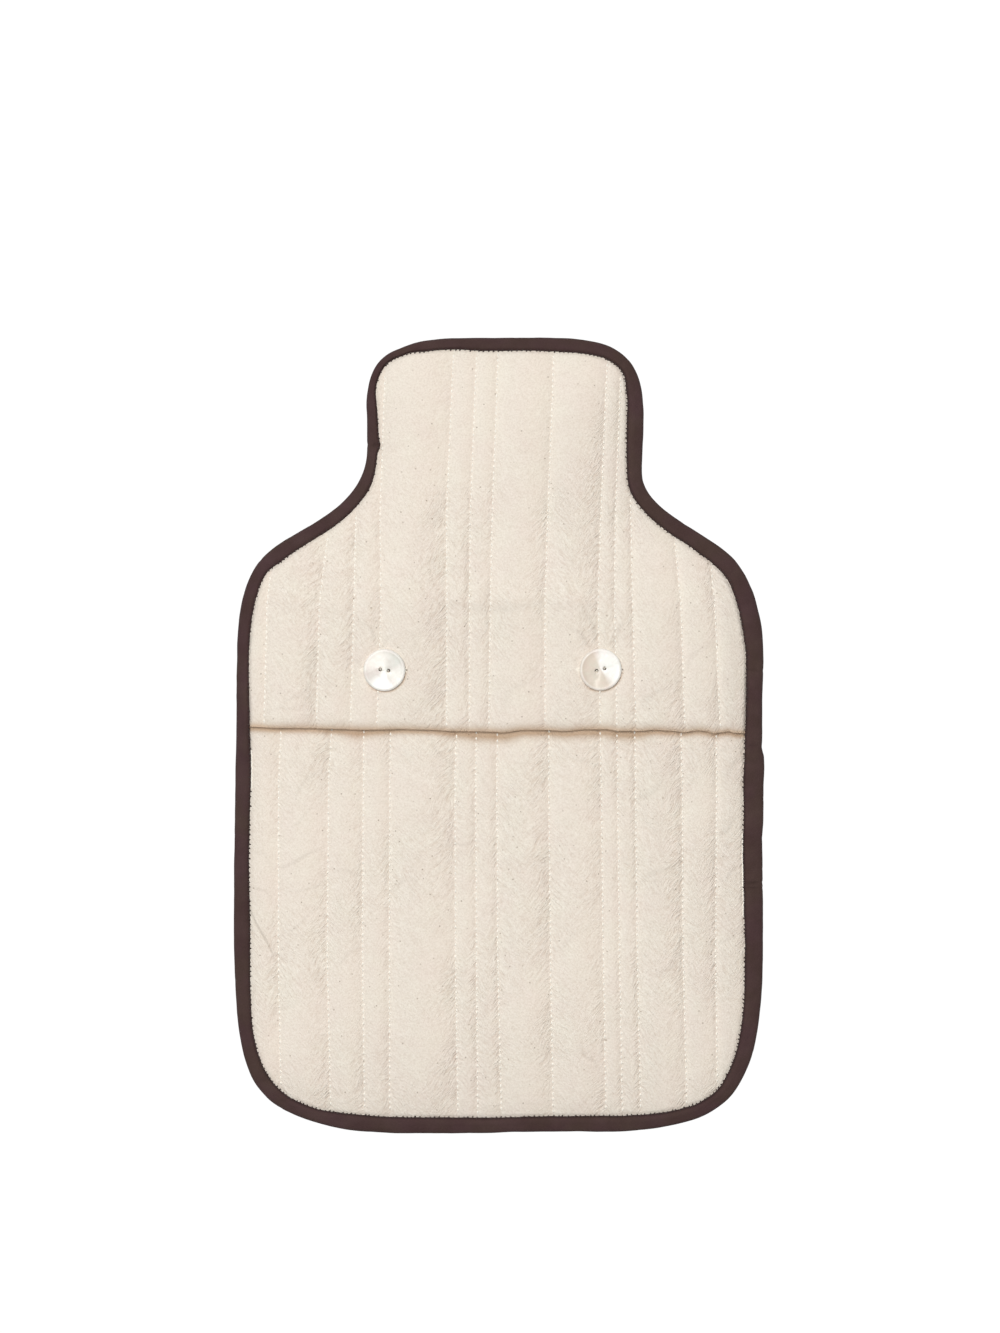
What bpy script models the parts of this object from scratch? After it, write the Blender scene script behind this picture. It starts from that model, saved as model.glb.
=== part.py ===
"""Quilted cover for a hot water bottle, lying on its back.

It is a flat cloth case with a neck: a quilted back, a quilted pocket for the lower front, a quilted
flap for the neck and shoulders whose free edge overlaps the pocket, a dark strip folded over the
raw edges all round, and two shell buttons that hold the flap shut.

Sizes are in millimetres and are turned into metres when a mesh is made. X runs across the cover,
Y from its foot to its neck and Z up from the surface that it lies on. The origin is under the
middle of the cover.
"""

import math

import bmesh
import bpy
import numpy as np
from mathutils.geometry import delaunay_2d_cdt

MM = 0.001

# The outer edge of the strip, counter-clockwise from the right of the foot. The cover is 240 mm
# wide and 360 mm long. Each row is an anchor of a Bezier loop: where it is, which way the edge
# runs there, how far its handles reach, and how wide the strip looks from above.
# x, y, heading (degrees), handle before, handle after, strip width
OUTLINE = (
    (34.0, -180.0, 0, 20, 73, 6.8),
    (120.0, -94.0, 90, 72, 16, 7.8),
    (119.6, 33.0, 90, 20, 42, 7.8),
    (89.5, 92.3, 149, 17, 13, 6.9),
    (64.4, 119.5, 90, 12, 9, 7.0),
    (65.4, 145.5, 90, 9, 28, 6.8),
    (26.5, 180.0, 180, 25, 10, 5.5),
    (-17.0, 180.0, 180, 10, 35, 5.4),
    (-60.0, 151.5, 270, 16, 3, 4.5),
    (-59.5, 130.0, 270, 16, 20, 4.8),
    (-88.8, 93.2, 210, 14, 18, 6.6),
    (-118.6, 35.5, 270, 43, 14, 6.2),
    (-120.0, -90.0, 270, 31, 69, 6.0),
    (-36.0, -180.0, 0, 79, 20, 6.6),
)
LONGEST_STEP = 11.0
SHARPEST_STEP = 10.0  # degrees

# Lines of stitching down the cloth, as the X where each crosses a station of Y. Beyond its
# stations a line runs on straight.
POCKET_STATIONS = (-165.0, -100.0, -20.0, 0.0)
POCKET_LINES = (
    (-98.4, -99.6, -99.5, -98.5),
    (-76.0, -77.4, -76.8, -75.6),
    (-60.6, -61.4, -61.0, -60.8),
    (-49.2, -49.2, -49.0, -48.8),
    (-18.4, -19.4, -19.6, -19.0),
    (-9.4, -9.9, -10.3, -10.0),
    (1.2, -0.3, -0.7, -0.5),
    (24.7, 23.5, 22.8, 22.8),
    (48.6, 47.4, 46.5, 46.0),
    (56.1, 54.7, 53.9, 53.6),
    (64.3, 62.8, 62.0, 61.6),
    (85.2, 83.6, 83.2, 82.6),
    (99.2, 98.4, 98.8, 98.6),
)
FLAP_STATIONS = (5.0, 60.0, 100.0, 135.0, 170.0)
FLAP_LINES = (
    (-106.0, -104.6, -100.0, -95.0, -90.0),
    (-82.2, -80.8, -76.4, -72.0, -68.0),
    (-66.8, -65.2, -64.6, -64.2, -64.0),
    (-54.8, -53.0, -53.6, -52.4, -51.2),
    (-23.4, -23.2, -23.5, -22.0, -20.4),
    (-13.2, -13.0, -12.7, -11.3, -10.0),
    (-4.3, -3.6, -2.8, -1.4, -0.3),
    (21.0, 21.0, 22.4, 23.7, 25.0),
    (46.0, 45.0, 46.4, 47.8, 49.4),
    (53.4, 52.5, 53.0, 54.4, 55.6),
    (62.0, 60.6, 60.0, 59.8, 59.6),
    (84.2, 82.4, 79.0, 76.0, 73.0),
    (100.2, 97.8, 94.0, 90.0, 86.0),
)
BACK_STATIONS = (-165.0, 0.0, 170.0)
BACK_LINES = tuple((x, x, 0.94 * x) for x in
                   (-98.0, -76.0, -55.0, -33.0, -11.0, 12.0, 34.0, 55.0, 77.0, 99.0))
OUTERMOST_LINE = 114.0

# Thickness and layers. At the strip the cloths lie flat on each other; inwards they swell.
SEAM_CLOTH = 1.0  # quilted cloth pressed flat in the seam
STRIP_CLOTH = 1.0
STRIP_ROUND = 3.0  # how far in the strip's rounded outer edge reaches
LAYER_GAP = 0.3
STITCHED_CLOTH = 1.5  # along a line of stitching
CHANNEL_SWELL = 2.6  # more than that at the crest of a wide channel
WIDE_CHANNEL = 20.0
MEDIUM_CHANNEL = 11.0
CHANNEL_FULLNESS = 2.4
UNEVEN_SWELL = 0.06
RAW_EDGE_IN = 2.8  # from the outer edge to the cut edge of the cloth
SWELL_REACH = 7.0
BACK_SWELL_REACH = 14.0
CROWN_REACH = 42.0
POCKET_RISE = 7.6
FLAP_RISE = 7.6
SWAY = 0.3  # slow unevenness of the filled cloth
POCKET_UNDER_SWELL = 0.6  # what a channel of the pocket swells downwards
FLAP_UNDER_SWELL = 0.4
LIFT_FROM, LIFT_OVER = -15.0, 9.0  # Y where the strip starts to lift for the flap, and the run
DROP_AFTER, DROP_OVER = 2.0, 11.0  # the same beyond the pocket's hem

# The back settles on the surface below it: its channels lie flat there, with grooves between.
BACK_GROOVE = 1.0
BACK_SETTLE_REACH = 4.0
BACK_FLATNESS = 1.7
BACK_STITCHED_RISE = 0.7
BACK_CREST_RISE = 1.1

# The pocket's top hem lies hidden under the flap.
POCKET_TOP = 59.0
HEM_ROUND = 2.2
HEM_PINCH = 0.6
FLAP_DROP = 36.0  # over which the flap comes down beyond the pocket's hem
FLAP_LIFT = 2.75  # what it lifts to clear the pocket's filled channels

# The free edge of the flap, from left to right.
FLAP_EDGE_X = (-118.0, -76.0, -26.0, 0.0, 28.0, 46.0, 64.0, 118.0)
FLAP_EDGE_Y = (3.8, 1.9, 1.0, 0.2, 1.9, 2.4, 1.5, 1.0)
EDGE_SCALLOP = 0.7
MEAN_FILL = 0.6
FOLD_ROUND = 3.0
FOLD_THIN = 0.34  # thickness at the very edge, as a part of the cloth's

# Buttons
BUTTON_ACROSS = 19.0
BUTTON_THICK = 2.4
BUTTON_RIM = 2.2  # width of the raised rim
BUTTON_DISH = 0.6
EYE_ACROSS = 1.7
EYE_APART = 3.8
SEAT_PRESS = 0.8  # how far a button presses its channel down
SEAT_ACROSS = 21.5
SEAT_SLOPE_ACROSS = 33.0  # where the cloth is back at its own height
SLIT_LONG = 21.0
SLIT_WIDE = 1.4
# name, x, y, turn of the two eyes (degrees), lean: how much the +X side is higher (degrees)
BUTTONS = (
    ("button_left", -51.4, 29.5, -9.0, 3.0),
    ("button_right", 46.0, 29.7, 18.0, -3.0),
)

# Mesh steps
POCKET_ROW_STEP = 12.5
FLAP_ROW_STEP = 10.5
BACK_ROW_STEP = 19.0
ROW_START_IN = 3.0  # how far in from the strip the rows of points begin
SEAM_CLEAR = 0.5  # cloth stays flat this far beyond the strip
NEAREST = 1.3
BUTTON_STEPS = 40
SLIT_STEPS = 14


# --- curves and soft steps -------------------------------------------------------------------


def clip01(t):
    return np.clip(t, 0.0, 1.0)


def ease(t):
    """0 to 1 with level ends."""
    t = clip01(t)
    return t * t * (3 - 2 * t)


def dome(t):
    """0 to 1, steep at first and level at the end."""
    t = clip01(t)
    return t * (2 - t)


def bezier_span(start, end):
    """Points from one anchor up to the next, with the strip's width at each."""
    turn = abs((end[2] - start[2] + 180) % 360 - 180)
    chord = math.hypot(end[0] - start[0], end[1] - start[1])
    steps = max(2, math.ceil(chord / LONGEST_STEP), math.ceil(turn / SHARPEST_STEP))
    first, last = np.array(start[:2]), np.array(end[:2])
    go, come = math.radians(start[2]), math.radians(end[2])
    second = first + start[4] * np.array((math.cos(go), math.sin(go)))
    third = last - end[3] * np.array((math.cos(come), math.sin(come)))
    t = np.linspace(0, 1, steps, endpoint=False)[:, None]
    points = ((1 - t) ** 3 * first + 3 * (1 - t) ** 2 * t * second
              + 3 * (1 - t) * t * t * third + t ** 3 * last)
    width = start[5] + (end[5] - start[5]) * ease(t[:, 0])
    return points, width


def outline():
    """The closed outer edge, its inward directions and the strip's width at each point."""
    spans = [bezier_span(a, b) for a, b in zip(OUTLINE, OUTLINE[1:] + OUTLINE[:1])]
    points = np.concatenate([span[0] for span in spans])
    width = np.concatenate([span[1] for span in spans])
    along = np.roll(points, -1, axis=0) - np.roll(points, 1, axis=0)
    along /= np.linalg.norm(along, axis=1)[:, None]
    inward = np.stack((-along[:, 1], along[:, 0]), axis=1)
    return points, inward, width


EDGE, EDGE_INWARD, EDGE_WIDTH = outline()


def depth_in(x, y):
    """How far inside the strip's inner edge each point is."""
    start, width = EDGE, EDGE_WIDTH
    run = np.roll(EDGE, -1, axis=0) - start
    widen = np.roll(width, -1) - width
    best = np.full(np.shape(x), np.inf)
    depth = np.full(np.shape(x), -np.inf)
    for (ax, ay), (rx, ry), w, dw in zip(start, run, width, widen):
        t = clip01(((x - ax) * rx + (y - ay) * ry) / (rx * rx + ry * ry))
        away = np.hypot(x - ax - t * rx, y - ay - t * ry)
        nearer = away < best
        best = np.where(nearer, away, best)
        depth = np.where(nearer, away - w - t * dw, depth)
    return depth


# --- quilting --------------------------------------------------------------------------------


def line_at(stations, line, y):
    """X of a line of stitching at Y."""
    first = (line[1] - line[0]) / (stations[1] - stations[0])
    last = (line[-1] - line[-2]) / (stations[-1] - stations[-2])
    within = np.interp(y, stations, line)
    below = np.minimum(np.asarray(y) - stations[0], 0) * first
    above = np.maximum(np.asarray(y) - stations[-1], 0) * last
    return within + below + above


def channel_fill(stations, lines, x, y):
    """0 on a line of stitching, up to 1 at the crest of a wide channel."""
    grid = [np.full(np.shape(x), -OUTERMOST_LINE)]
    grid += [line_at(stations, line, y) for line in lines]
    grid += [np.full(np.shape(x), OUTERMOST_LINE)]
    fill = np.zeros(np.shape(x))
    for left, right in zip(grid, grid[1:]):
        across = np.maximum(right - left, 1.0)
        t = (x - left) / across
        inside = (t >= 0) & (t <= 1)
        height = np.minimum(across / WIDE_CHANNEL, 1.0) ** 0.9
        fill = np.where(inside, height * (1 - np.abs(2 * t - 1) ** CHANNEL_FULLNESS), fill)
    return fill * (1 - UNEVEN_SWELL * (1 + np.sin(x / 9.0 + y / 17.0)))


def columns(stations, lines):
    """X functions of the columns of points: each line, and the crests and shoulders between."""
    left = tuple(-OUTERMOST_LINE for _ in stations)
    right = tuple(OUTERMOST_LINE for _ in stations)
    rows = (left, *lines, right)
    found = []
    for here, beyond in zip(rows, rows[1:]):
        if here is not left:
            found.append(here)
        wide = beyond[1] - here[1] > MEDIUM_CHANNEL
        for part in (0.22, 0.5, 0.78) if wide else (0.5,):
            found.append(tuple(a + part * (b - a) for a, b in zip(here, beyond)))
    return found


def swell_from_strip(depth):
    return np.sin(0.5 * math.pi * clip01((depth - SEAM_CLEAR) / SWELL_REACH))


def sway(x, y):
    """The filled cloth is never quite even."""
    return SWAY * np.sin(x / 31.0 + y / 53.0) * np.sin(y / 41.0 - x / 67.0 + 1.1)


# --- heights of the layers -------------------------------------------------------------------

BACK_LOW = STRIP_CLOTH + LAYER_GAP
BACK_HIGH = BACK_LOW + SEAM_CLOTH
FRONT_LOW = BACK_HIGH + LAYER_GAP
FRONT_HIGH = FRONT_LOW + SEAM_CLOTH
LAYER_STEP = SEAM_CLOTH + LAYER_GAP


def over_pocket(y):
    """1 where the seam holds three cloths, 0 where it holds two."""
    lifted = ease((y - LIFT_FROM) / LIFT_OVER)
    return lifted * (1 - ease((y - POCKET_TOP - DROP_AFTER) / DROP_OVER))


def flap_edge(x):
    """Y of the flap's free edge: slightly wavy, and drawn in at its lines of stitching."""
    at = np.asarray(x, float)
    fill = channel_fill(FLAP_STATIONS, FLAP_LINES, at, np.full(at.shape, 2.0))
    return np.interp(at, FLAP_EDGE_X, FLAP_EDGE_Y) + EDGE_SCALLOP * (MEAN_FILL - fill)


def back_heights(x, y):
    depth = depth_in(x, y)
    fill = channel_fill(BACK_STATIONS, BACK_LINES, x, y)
    settled = ease((depth - SEAM_CLEAR) / BACK_SETTLE_REACH)
    groove = BACK_GROOVE * (1 - clip01(BACK_FLATNESS * fill))
    low = BACK_LOW * (1 - settled) + groove * settled
    swell = ease((depth - SEAM_CLEAR) / BACK_SWELL_REACH)
    high = BACK_HIGH + swell * (BACK_STITCHED_RISE + BACK_CREST_RISE * fill)
    return low, high


def pocket_heights(x, y):
    depth = depth_in(x, y)
    swell = swell_from_strip(depth)
    fill = channel_fill(POCKET_STATIONS, POCKET_LINES, x, y) * swell
    crown = dome(depth / CROWN_REACH)
    thick = SEAM_CLOTH + swell * (STITCHED_CLOTH - SEAM_CLOTH)
    low = FRONT_LOW + POCKET_RISE * crown + sway(x, y) * crown - POCKET_UNDER_SWELL * fill
    high = low + thick + CHANNEL_SWELL * fill
    # The hem is rounded off towards its fold.
    hem = 1 - dome((POCKET_TOP - y) / HEM_ROUND)
    middle = 0.5 * (low + high)
    pinch = 1 - HEM_PINCH * hem
    return middle - (middle - low) * pinch, middle + (high - middle) * pinch


def flap_heights(x, y):
    depth = depth_in(x, y)
    swell = swell_from_strip(depth)
    fill = channel_fill(FLAP_STATIONS, FLAP_LINES, x, y) * swell
    crown = dome(depth / CROWN_REACH)
    lifted = 1 - dome((y - POCKET_TOP - 1.0) / FLAP_DROP)
    low = (FRONT_LOW + LAYER_STEP * over_pocket(np.maximum(y, 0.0))
           + (FLAP_RISE + sway(x, y)) * crown
           + FLAP_LIFT * lifted * swell + FLAP_UNDER_SWELL * (swell - fill))
    thick = SEAM_CLOTH + swell * (STITCHED_CLOTH - SEAM_CLOTH)
    high = low + thick + CHANNEL_SWELL * fill
    # The free edge is a soft fold.
    rounding = np.sqrt(1 - (1 - clip01((y - flap_edge(x)) / FOLD_ROUND)) ** 2)
    fold = FOLD_THIN + (1 - FOLD_THIN) * rounding
    high = low + (high - low) * (1 - swell * (1 - fold))
    for _, bx, by, _, lean in BUTTONS:
        reach = np.hypot(x - bx, y - by)
        slope = 0.5 * (SEAT_SLOPE_ACROSS - SEAT_ACROSS)
        pressed = 1 - ease((reach - 0.5 * SEAT_ACROSS) / slope)
        seat = seat_height(bx, by) + (x - bx) * math.tan(math.radians(lean))
        high = high - pressed * np.maximum(high - seat, 0.0)
    return low, high


def seat_height(bx, by):
    """Height of the pressed cloth that a button lies on."""
    crown = dome(depth_in(np.array(bx), np.array(by)) / CROWN_REACH)
    crest = (FRONT_LOW + LAYER_STEP + (FLAP_RISE + sway(bx, by)) * crown + FLAP_LIFT
             + STITCHED_CLOTH + CHANNEL_SWELL)
    return float(crest) - SEAT_PRESS


# --- meshes ----------------------------------------------------------------------------------


def add_object(name, points, faces, material):
    mesh = bpy.data.meshes.new(name)
    mesh.from_pydata([tuple(MM * float(c) for c in p) for p in points], [], faces)
    mesh.validate()
    mesh.materials.append(material)
    mesh.shade_smooth()
    mesh.set_sharp_from_angle(angle=math.radians(50))
    obj = bpy.data.objects.new(name, mesh)
    bpy.context.scene.collection.objects.link(obj)
    return obj


def ring(inset_from_edge=None, inset_from_strip=None):
    """The outline moved inwards, measured from the outer edge or from the strip's inner edge."""
    if inset_from_edge is not None:
        away = np.full(len(EDGE), inset_from_edge)
    else:
        away = EDGE_WIDTH + inset_from_strip
    return EDGE + away[:, None] * EDGE_INWARD


def cut_arc(loop, limit, keep_above):
    """The open stretch of a closed loop on one side of the curve y = limit(x), ends included."""
    side = (loop[:, 1] - limit(loop[:, 0])) * (1 if keep_above else -1)
    start = next(i for i in range(len(loop)) if side[i] <= 0 < side[(i + 1) % len(loop)])
    order = [(start + k) % len(loop) for k in range(len(loop))]
    count = next(k for k in range(1, len(loop)) if side[order[k + 1]] <= 0)
    inner = [loop[i] for i in order[1:count + 1]]

    def crossing(i, j):
        t = side[i] / (side[i] - side[j])
        x = loop[i][0] + t * (loop[j][0] - loop[i][0])
        return np.array((x, float(limit(np.array(x)))))

    first = crossing(order[0], order[1])
    last = crossing(order[count], order[count + 1])
    inner = [p for p in inner if min(math.dist(p, first), math.dist(p, last)) > NEAREST]
    return [first, *inner, last]


def closed_along(arc, limit, stops):
    """An arc closed along the curve y = limit(x), with a point at each stop."""
    left, right = sorted((arc[0][0], arc[-1][0]))
    between = sorted(x for x in stops if left + 0.1 < x < right - 0.1)
    if arc[-1][0] > arc[0][0]:
        between.reverse()
    return [*arc, *(np.array((x, float(limit(np.array(x))))) for x in between)]


def spread(stops, keep):
    """The stops to keep, and those others that are well away from each of them."""
    return [*keep, *(x for x in stops if min(abs(x - k) for k in keep) > NEAREST)]


def inner_points(stations, lines, row_step, inside):
    """Rows of points down each column, wherever inside(x, y) is positive."""
    y = np.arange(-178.0, 178.0, 0.5)
    points = []
    for column in columns(stations, lines):
        x = line_at(stations, column, y)
        good = inside(x, y) > 0
        ends = np.flatnonzero(np.diff(np.concatenate(([0], good.astype(int), [0]))))
        for first, last in zip(ends[::2], ends[1::2] - 1):
            low, high = y[first], y[last]
            if high - low < 2.0:
                continue
            rows = [r for r in np.arange(-180.0, 180.0, row_step) if low + 2.5 < r < high - 2.5]
            for at in (low, *rows, high):
                points.append((float(line_at(stations, column, at)), float(at)))
    return points


def thinned(points, apart, keep_clear):
    """Leaves out a point that is too near one already kept."""
    kept = []
    fixed = np.array(keep_clear)
    for point in points:
        near_fixed = np.hypot(*(fixed - point).T).min() < apart
        near_kept = kept and np.hypot(*(np.array(kept) - point).T).min() < apart
        if not near_fixed and not near_kept:
            kept.append(point)
    return kept


def within(loop, x, y):
    """Whether a point is inside a convex loop that runs counter-clockwise."""
    return all((b[0] - a[0]) * (y - a[1]) > (b[1] - a[1]) * (x - a[0])
               for a, b in zip(loop, loop[1:] + loop[:1]))


def add_sheet(name, outer, holes, seam, points, heights, material):
    """A closed sheet of cloth: one flat triangulation, at a top and at a bottom height."""
    flat, edges = [], []
    for loop in (outer, *holes):
        first = len(flat)
        flat += [tuple(map(float, p)) for p in loop]
        edges += [(first + k, first + (k + 1) % len(loop)) for k in range(len(loop))]
    first = len(flat)
    flat += [tuple(map(float, p)) for p in seam]
    edges += [(first + k, first + k + 1) for k in range(len(seam) - 1)]
    flat += thinned(points, NEAREST, flat)
    inside_outer_loop = 1
    verts, _, faces, *_ = delaunay_2d_cdt(flat, edges, [], inside_outer_loop, 1e-3)
    x, y = np.array([v[0] for v in verts]), np.array([v[1] for v in verts])
    for hole in holes:
        faces = [f for f in faces if not within(hole, x[f].mean(), y[f].mean())]
    low, high = heights(x, y)
    count = len(verts)
    top = [(a, b, c) for a, b, c in faces]
    under = [(c + count, b + count, a + count) for a, b, c in faces]
    used = {(f[k], f[(k + 1) % 3]) for f in faces for k in range(3)}
    rim = [(a, b) for a, b in used if (b, a) not in used]
    walls = [(b, a, a + count, b + count) for a, b in rim]
    solid = np.concatenate((np.stack((x, y, high), 1), np.stack((x, y, low), 1)))
    return add_object(name, solid, top + under + walls, material)


def oval(x, y, across, along, steps):
    turns = np.linspace(0, 2 * math.pi, steps, endpoint=False)
    return [(x + 0.5 * across * math.cos(a), y + 0.5 * along * math.sin(a)) for a in turns]


def seat_points(bx, by):
    """Points round the edge and round the slope of the seat pressed into the flap."""
    middle = 0.5 * (SEAT_ACROSS + SEAT_SLOPE_ACROSS)
    return [p for size in (SEAT_ACROSS + 0.4, middle) for p in oval(bx, by, size, size, 12)]


def slit(bx, by):
    """The buttonhole under a button: a narrow lens."""
    return oval(bx, by, SLIT_LONG, SLIT_WIDE, SLIT_STEPS)


# --- materials -------------------------------------------------------------------------------


def material(name, colour, roughness, metallic=0.0):
    made = bpy.data.materials.new(name)
    made.use_nodes = True
    shader = made.node_tree.nodes["Principled BSDF"]
    shader.inputs["Base Color"].default_value = (*colour, 1.0)
    shader.inputs["Roughness"].default_value = roughness
    shader.inputs["Metallic"].default_value = metallic
    made.diffuse_color = (*colour, 1.0)
    return made


# --- the pieces ------------------------------------------------------------------------------


def add_back_panel(cloth):
    seam = ring(inset_from_strip=SEAM_CLEAR)
    points = inner_points(BACK_STATIONS, BACK_LINES, BACK_ROW_STEP,
                          lambda x, y: depth_in(x, y) - ROW_START_IN)
    add_sheet("back_panel", ring(inset_from_edge=RAW_EDGE_IN), (), [*seam, seam[0]], points,
              back_heights, cloth)


def add_cut_panel(name, limit, keep_above, stops, holes, points, heights, cloth):
    """A panel that ends along the curve y = limit(x)."""
    seam = cut_arc(ring(inset_from_strip=SEAM_CLEAR), limit, keep_above)
    outer = cut_arc(ring(inset_from_edge=RAW_EDGE_IN), limit, keep_above)
    stops = spread(stops, (seam[0][0], seam[-1][0]))
    add_sheet(name, closed_along(outer, limit, stops), holes, seam, points, heights, cloth)


def add_front_panel(cloth):
    def top(x):
        return np.full(np.shape(x), POCKET_TOP)

    stops = [float(line_at(POCKET_STATIONS, c, POCKET_TOP))
             for c in columns(POCKET_STATIONS, POCKET_LINES)]
    points = inner_points(
        POCKET_STATIONS, POCKET_LINES, POCKET_ROW_STEP,
        lambda x, y: np.minimum(depth_in(x, y) - ROW_START_IN, POCKET_TOP - HEM_ROUND - y))
    add_cut_panel("front_panel", top, False, stops, (), points, pocket_heights, cloth)


def add_flap(cloth):
    stops = [float(line_at(FLAP_STATIONS, c, 2.0))
             for c in columns(FLAP_STATIONS, FLAP_LINES)]
    points = inner_points(
        FLAP_STATIONS, FLAP_LINES, FLAP_ROW_STEP,
        lambda x, y: np.minimum(depth_in(x, y) - ROW_START_IN, y - flap_edge(x) - 1.4))
    holes = [slit(bx, by) for _, bx, by, *_ in BUTTONS]
    points = [p for _, bx, by, *_ in BUTTONS for p in seat_points(bx, by)] + points
    add_cut_panel("flap", flap_edge, True, stops, holes, points, flap_heights, cloth)


def strip_section(width):
    """The folded strip's section, from its lower lip round the outer edge and back inside.

    Each row is inset, height, and whether it belongs to the upper lip, which lifts over the
    pocket.
    """
    wall, top = STRIP_CLOTH, FRONT_HIGH + LAYER_GAP + STRIP_CLOTH
    inner = wall + LAYER_GAP
    return (
        (width, 0.0, False),
        (STRIP_ROUND, 0.0, False),
        (0.33 * STRIP_ROUND, 0.17 * STRIP_ROUND, False),
        (0.0, 0.63 * STRIP_ROUND, False),
        (0.0, top - 0.63 * STRIP_ROUND, True),
        (0.33 * STRIP_ROUND, top - 0.17 * STRIP_ROUND, True),
        (STRIP_ROUND, top, True),
        (width - 0.4 * wall, top, True),
        (width, top - 0.4 * wall, True),
        (width, top - wall, True),
        (inner + 1.0, top - wall, True),
        (inner, top - 1.8 * wall, True),
        (inner, 1.8 * wall, False),
        (inner + 1.0, wall, False),
        (width, wall, False),
    )


def add_binding(cloth):
    points, faces = [], []
    sections = len(EDGE)
    for (x, y), (nx, ny), width in zip(EDGE, EDGE_INWARD, EDGE_WIDTH):
        for u, z, on_top in strip_section(width):
            rise = LAYER_STEP * float(over_pocket(y + ny * u)) if on_top else 0.0
            points.append((x + nx * u, y + ny * u, z + rise))
    count = len(points) // sections
    for i in range(sections):
        here, beyond = i * count, (i + 1) % sections * count
        for k in range(count):
            step = (k + 1) % count
            faces.append((here + step, here + k, beyond + k, beyond + step))
    add_object("binding", points, faces, cloth)


def button_profile():
    """Half section of a button, from the middle of its face to the middle of its back."""
    radius, thick = 0.5 * BUTTON_ACROSS, BUTTON_THICK
    return (
        (radius - BUTTON_RIM - 1.2, thick - BUTTON_DISH),
        (radius - BUTTON_RIM, thick - 0.45 * BUTTON_DISH),
        (radius - 0.5 * BUTTON_RIM, thick),
        (radius - 0.4, thick - 0.25),
        (radius, thick - 0.9),
        (radius - 0.2, 0.6),
        (radius - 1.0, 0.0),
    )


def add_button(name, bx, by, turn, lean, shell):
    profile = button_profile()
    points, faces = [], []
    for step in range(BUTTON_STEPS):
        angle = 2 * math.pi * step / BUTTON_STEPS
        points += [(r * math.cos(angle), r * math.sin(angle), z) for r, z in profile]
    count = len(profile)
    for i in range(BUTTON_STEPS):
        here, beyond = i * count, (i + 1) % BUTTON_STEPS * count
        for k in range(count - 1):
            faces.append((here + k, here + k + 1, beyond + k + 1, beyond + k))
    faces.append([i * count for i in range(BUTTON_STEPS)])
    faces.append([i * count + count - 1 for i in reversed(range(BUTTON_STEPS))])
    disc = add_object(name, points, faces, shell)
    disc.location = (MM * bx, MM * by, MM * (seat_height(bx, by) + LAYER_GAP))
    disc.rotation_mode = "ZXY"
    disc.rotation_euler = (0.0, -math.radians(lean), math.radians(turn))
    for side in (-1, 1):
        cut_eye(disc, side)
    return disc


def cut_eye(disc, side):
    """One of the two holes that the thread goes through."""
    bm = bmesh.new()
    bmesh.ops.create_cone(bm, cap_ends=True, segments=12, depth=MM * 4 * BUTTON_THICK,
                          radius1=MM * 0.5 * EYE_ACROSS, radius2=MM * 0.5 * EYE_ACROSS)
    mesh = bpy.data.meshes.new("eye_cutter")
    bm.to_mesh(mesh)
    bm.free()
    cutter = bpy.data.objects.new("eye_cutter", mesh)
    bpy.context.scene.collection.objects.link(cutter)
    cutter.parent = disc
    cutter.location.x = side * MM * 0.5 * EYE_APART
    cutter.hide_render = True
    cutter.display_type = "WIRE"
    hole = disc.modifiers.new("eye", "BOOLEAN")
    hole.operation = "DIFFERENCE"
    hole.object = cutter


def main():
    for obj in list(bpy.data.objects):
        bpy.data.objects.remove(obj)
    cream = material("cream_cotton", (0.80, 0.73, 0.64), 0.9)
    brown = material("brown_cotton", (0.075, 0.045, 0.041), 0.85)
    shell = material("shell", (0.86, 0.82, 0.76), 0.25)
    add_back_panel(cream)
    add_front_panel(cream)
    add_flap(cream)
    add_binding(brown)
    for name, bx, by, turn, lean in BUTTONS:
        add_button(name, bx, by, turn, lean, shell)


main()
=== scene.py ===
"""Looks of the quilted hot water bottle cover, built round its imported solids.

Each solid is replaced by a finer piece with the same form: cloth panels with their quilting,
crinkles and creases, the bound edge with its waves and stitches, and mother-of-pearl buttons with
their thread and buttonholes. Sizes are in millimetres and are turned into metres when a mesh is
made. X runs across the cover, Y from its foot to its neck and Z up from the floor.
"""

import math

import bpy
import numpy as np
from mathutils.geometry import delaunay_2d_cdt
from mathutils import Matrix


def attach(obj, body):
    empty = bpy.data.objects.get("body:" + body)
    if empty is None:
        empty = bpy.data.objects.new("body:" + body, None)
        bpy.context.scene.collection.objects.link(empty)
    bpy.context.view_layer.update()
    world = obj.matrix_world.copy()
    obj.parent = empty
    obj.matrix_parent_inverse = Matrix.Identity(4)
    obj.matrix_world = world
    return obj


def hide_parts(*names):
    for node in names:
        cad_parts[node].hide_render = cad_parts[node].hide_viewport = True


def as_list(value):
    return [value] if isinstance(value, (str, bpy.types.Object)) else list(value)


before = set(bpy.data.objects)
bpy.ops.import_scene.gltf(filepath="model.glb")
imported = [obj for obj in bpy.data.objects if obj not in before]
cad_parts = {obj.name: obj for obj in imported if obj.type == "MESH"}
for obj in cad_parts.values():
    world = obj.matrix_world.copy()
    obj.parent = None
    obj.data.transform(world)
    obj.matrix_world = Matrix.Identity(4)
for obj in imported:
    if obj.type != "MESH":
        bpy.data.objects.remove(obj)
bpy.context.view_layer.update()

MM = 0.001
UP = (0.0, 0.0, 1.0)

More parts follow.
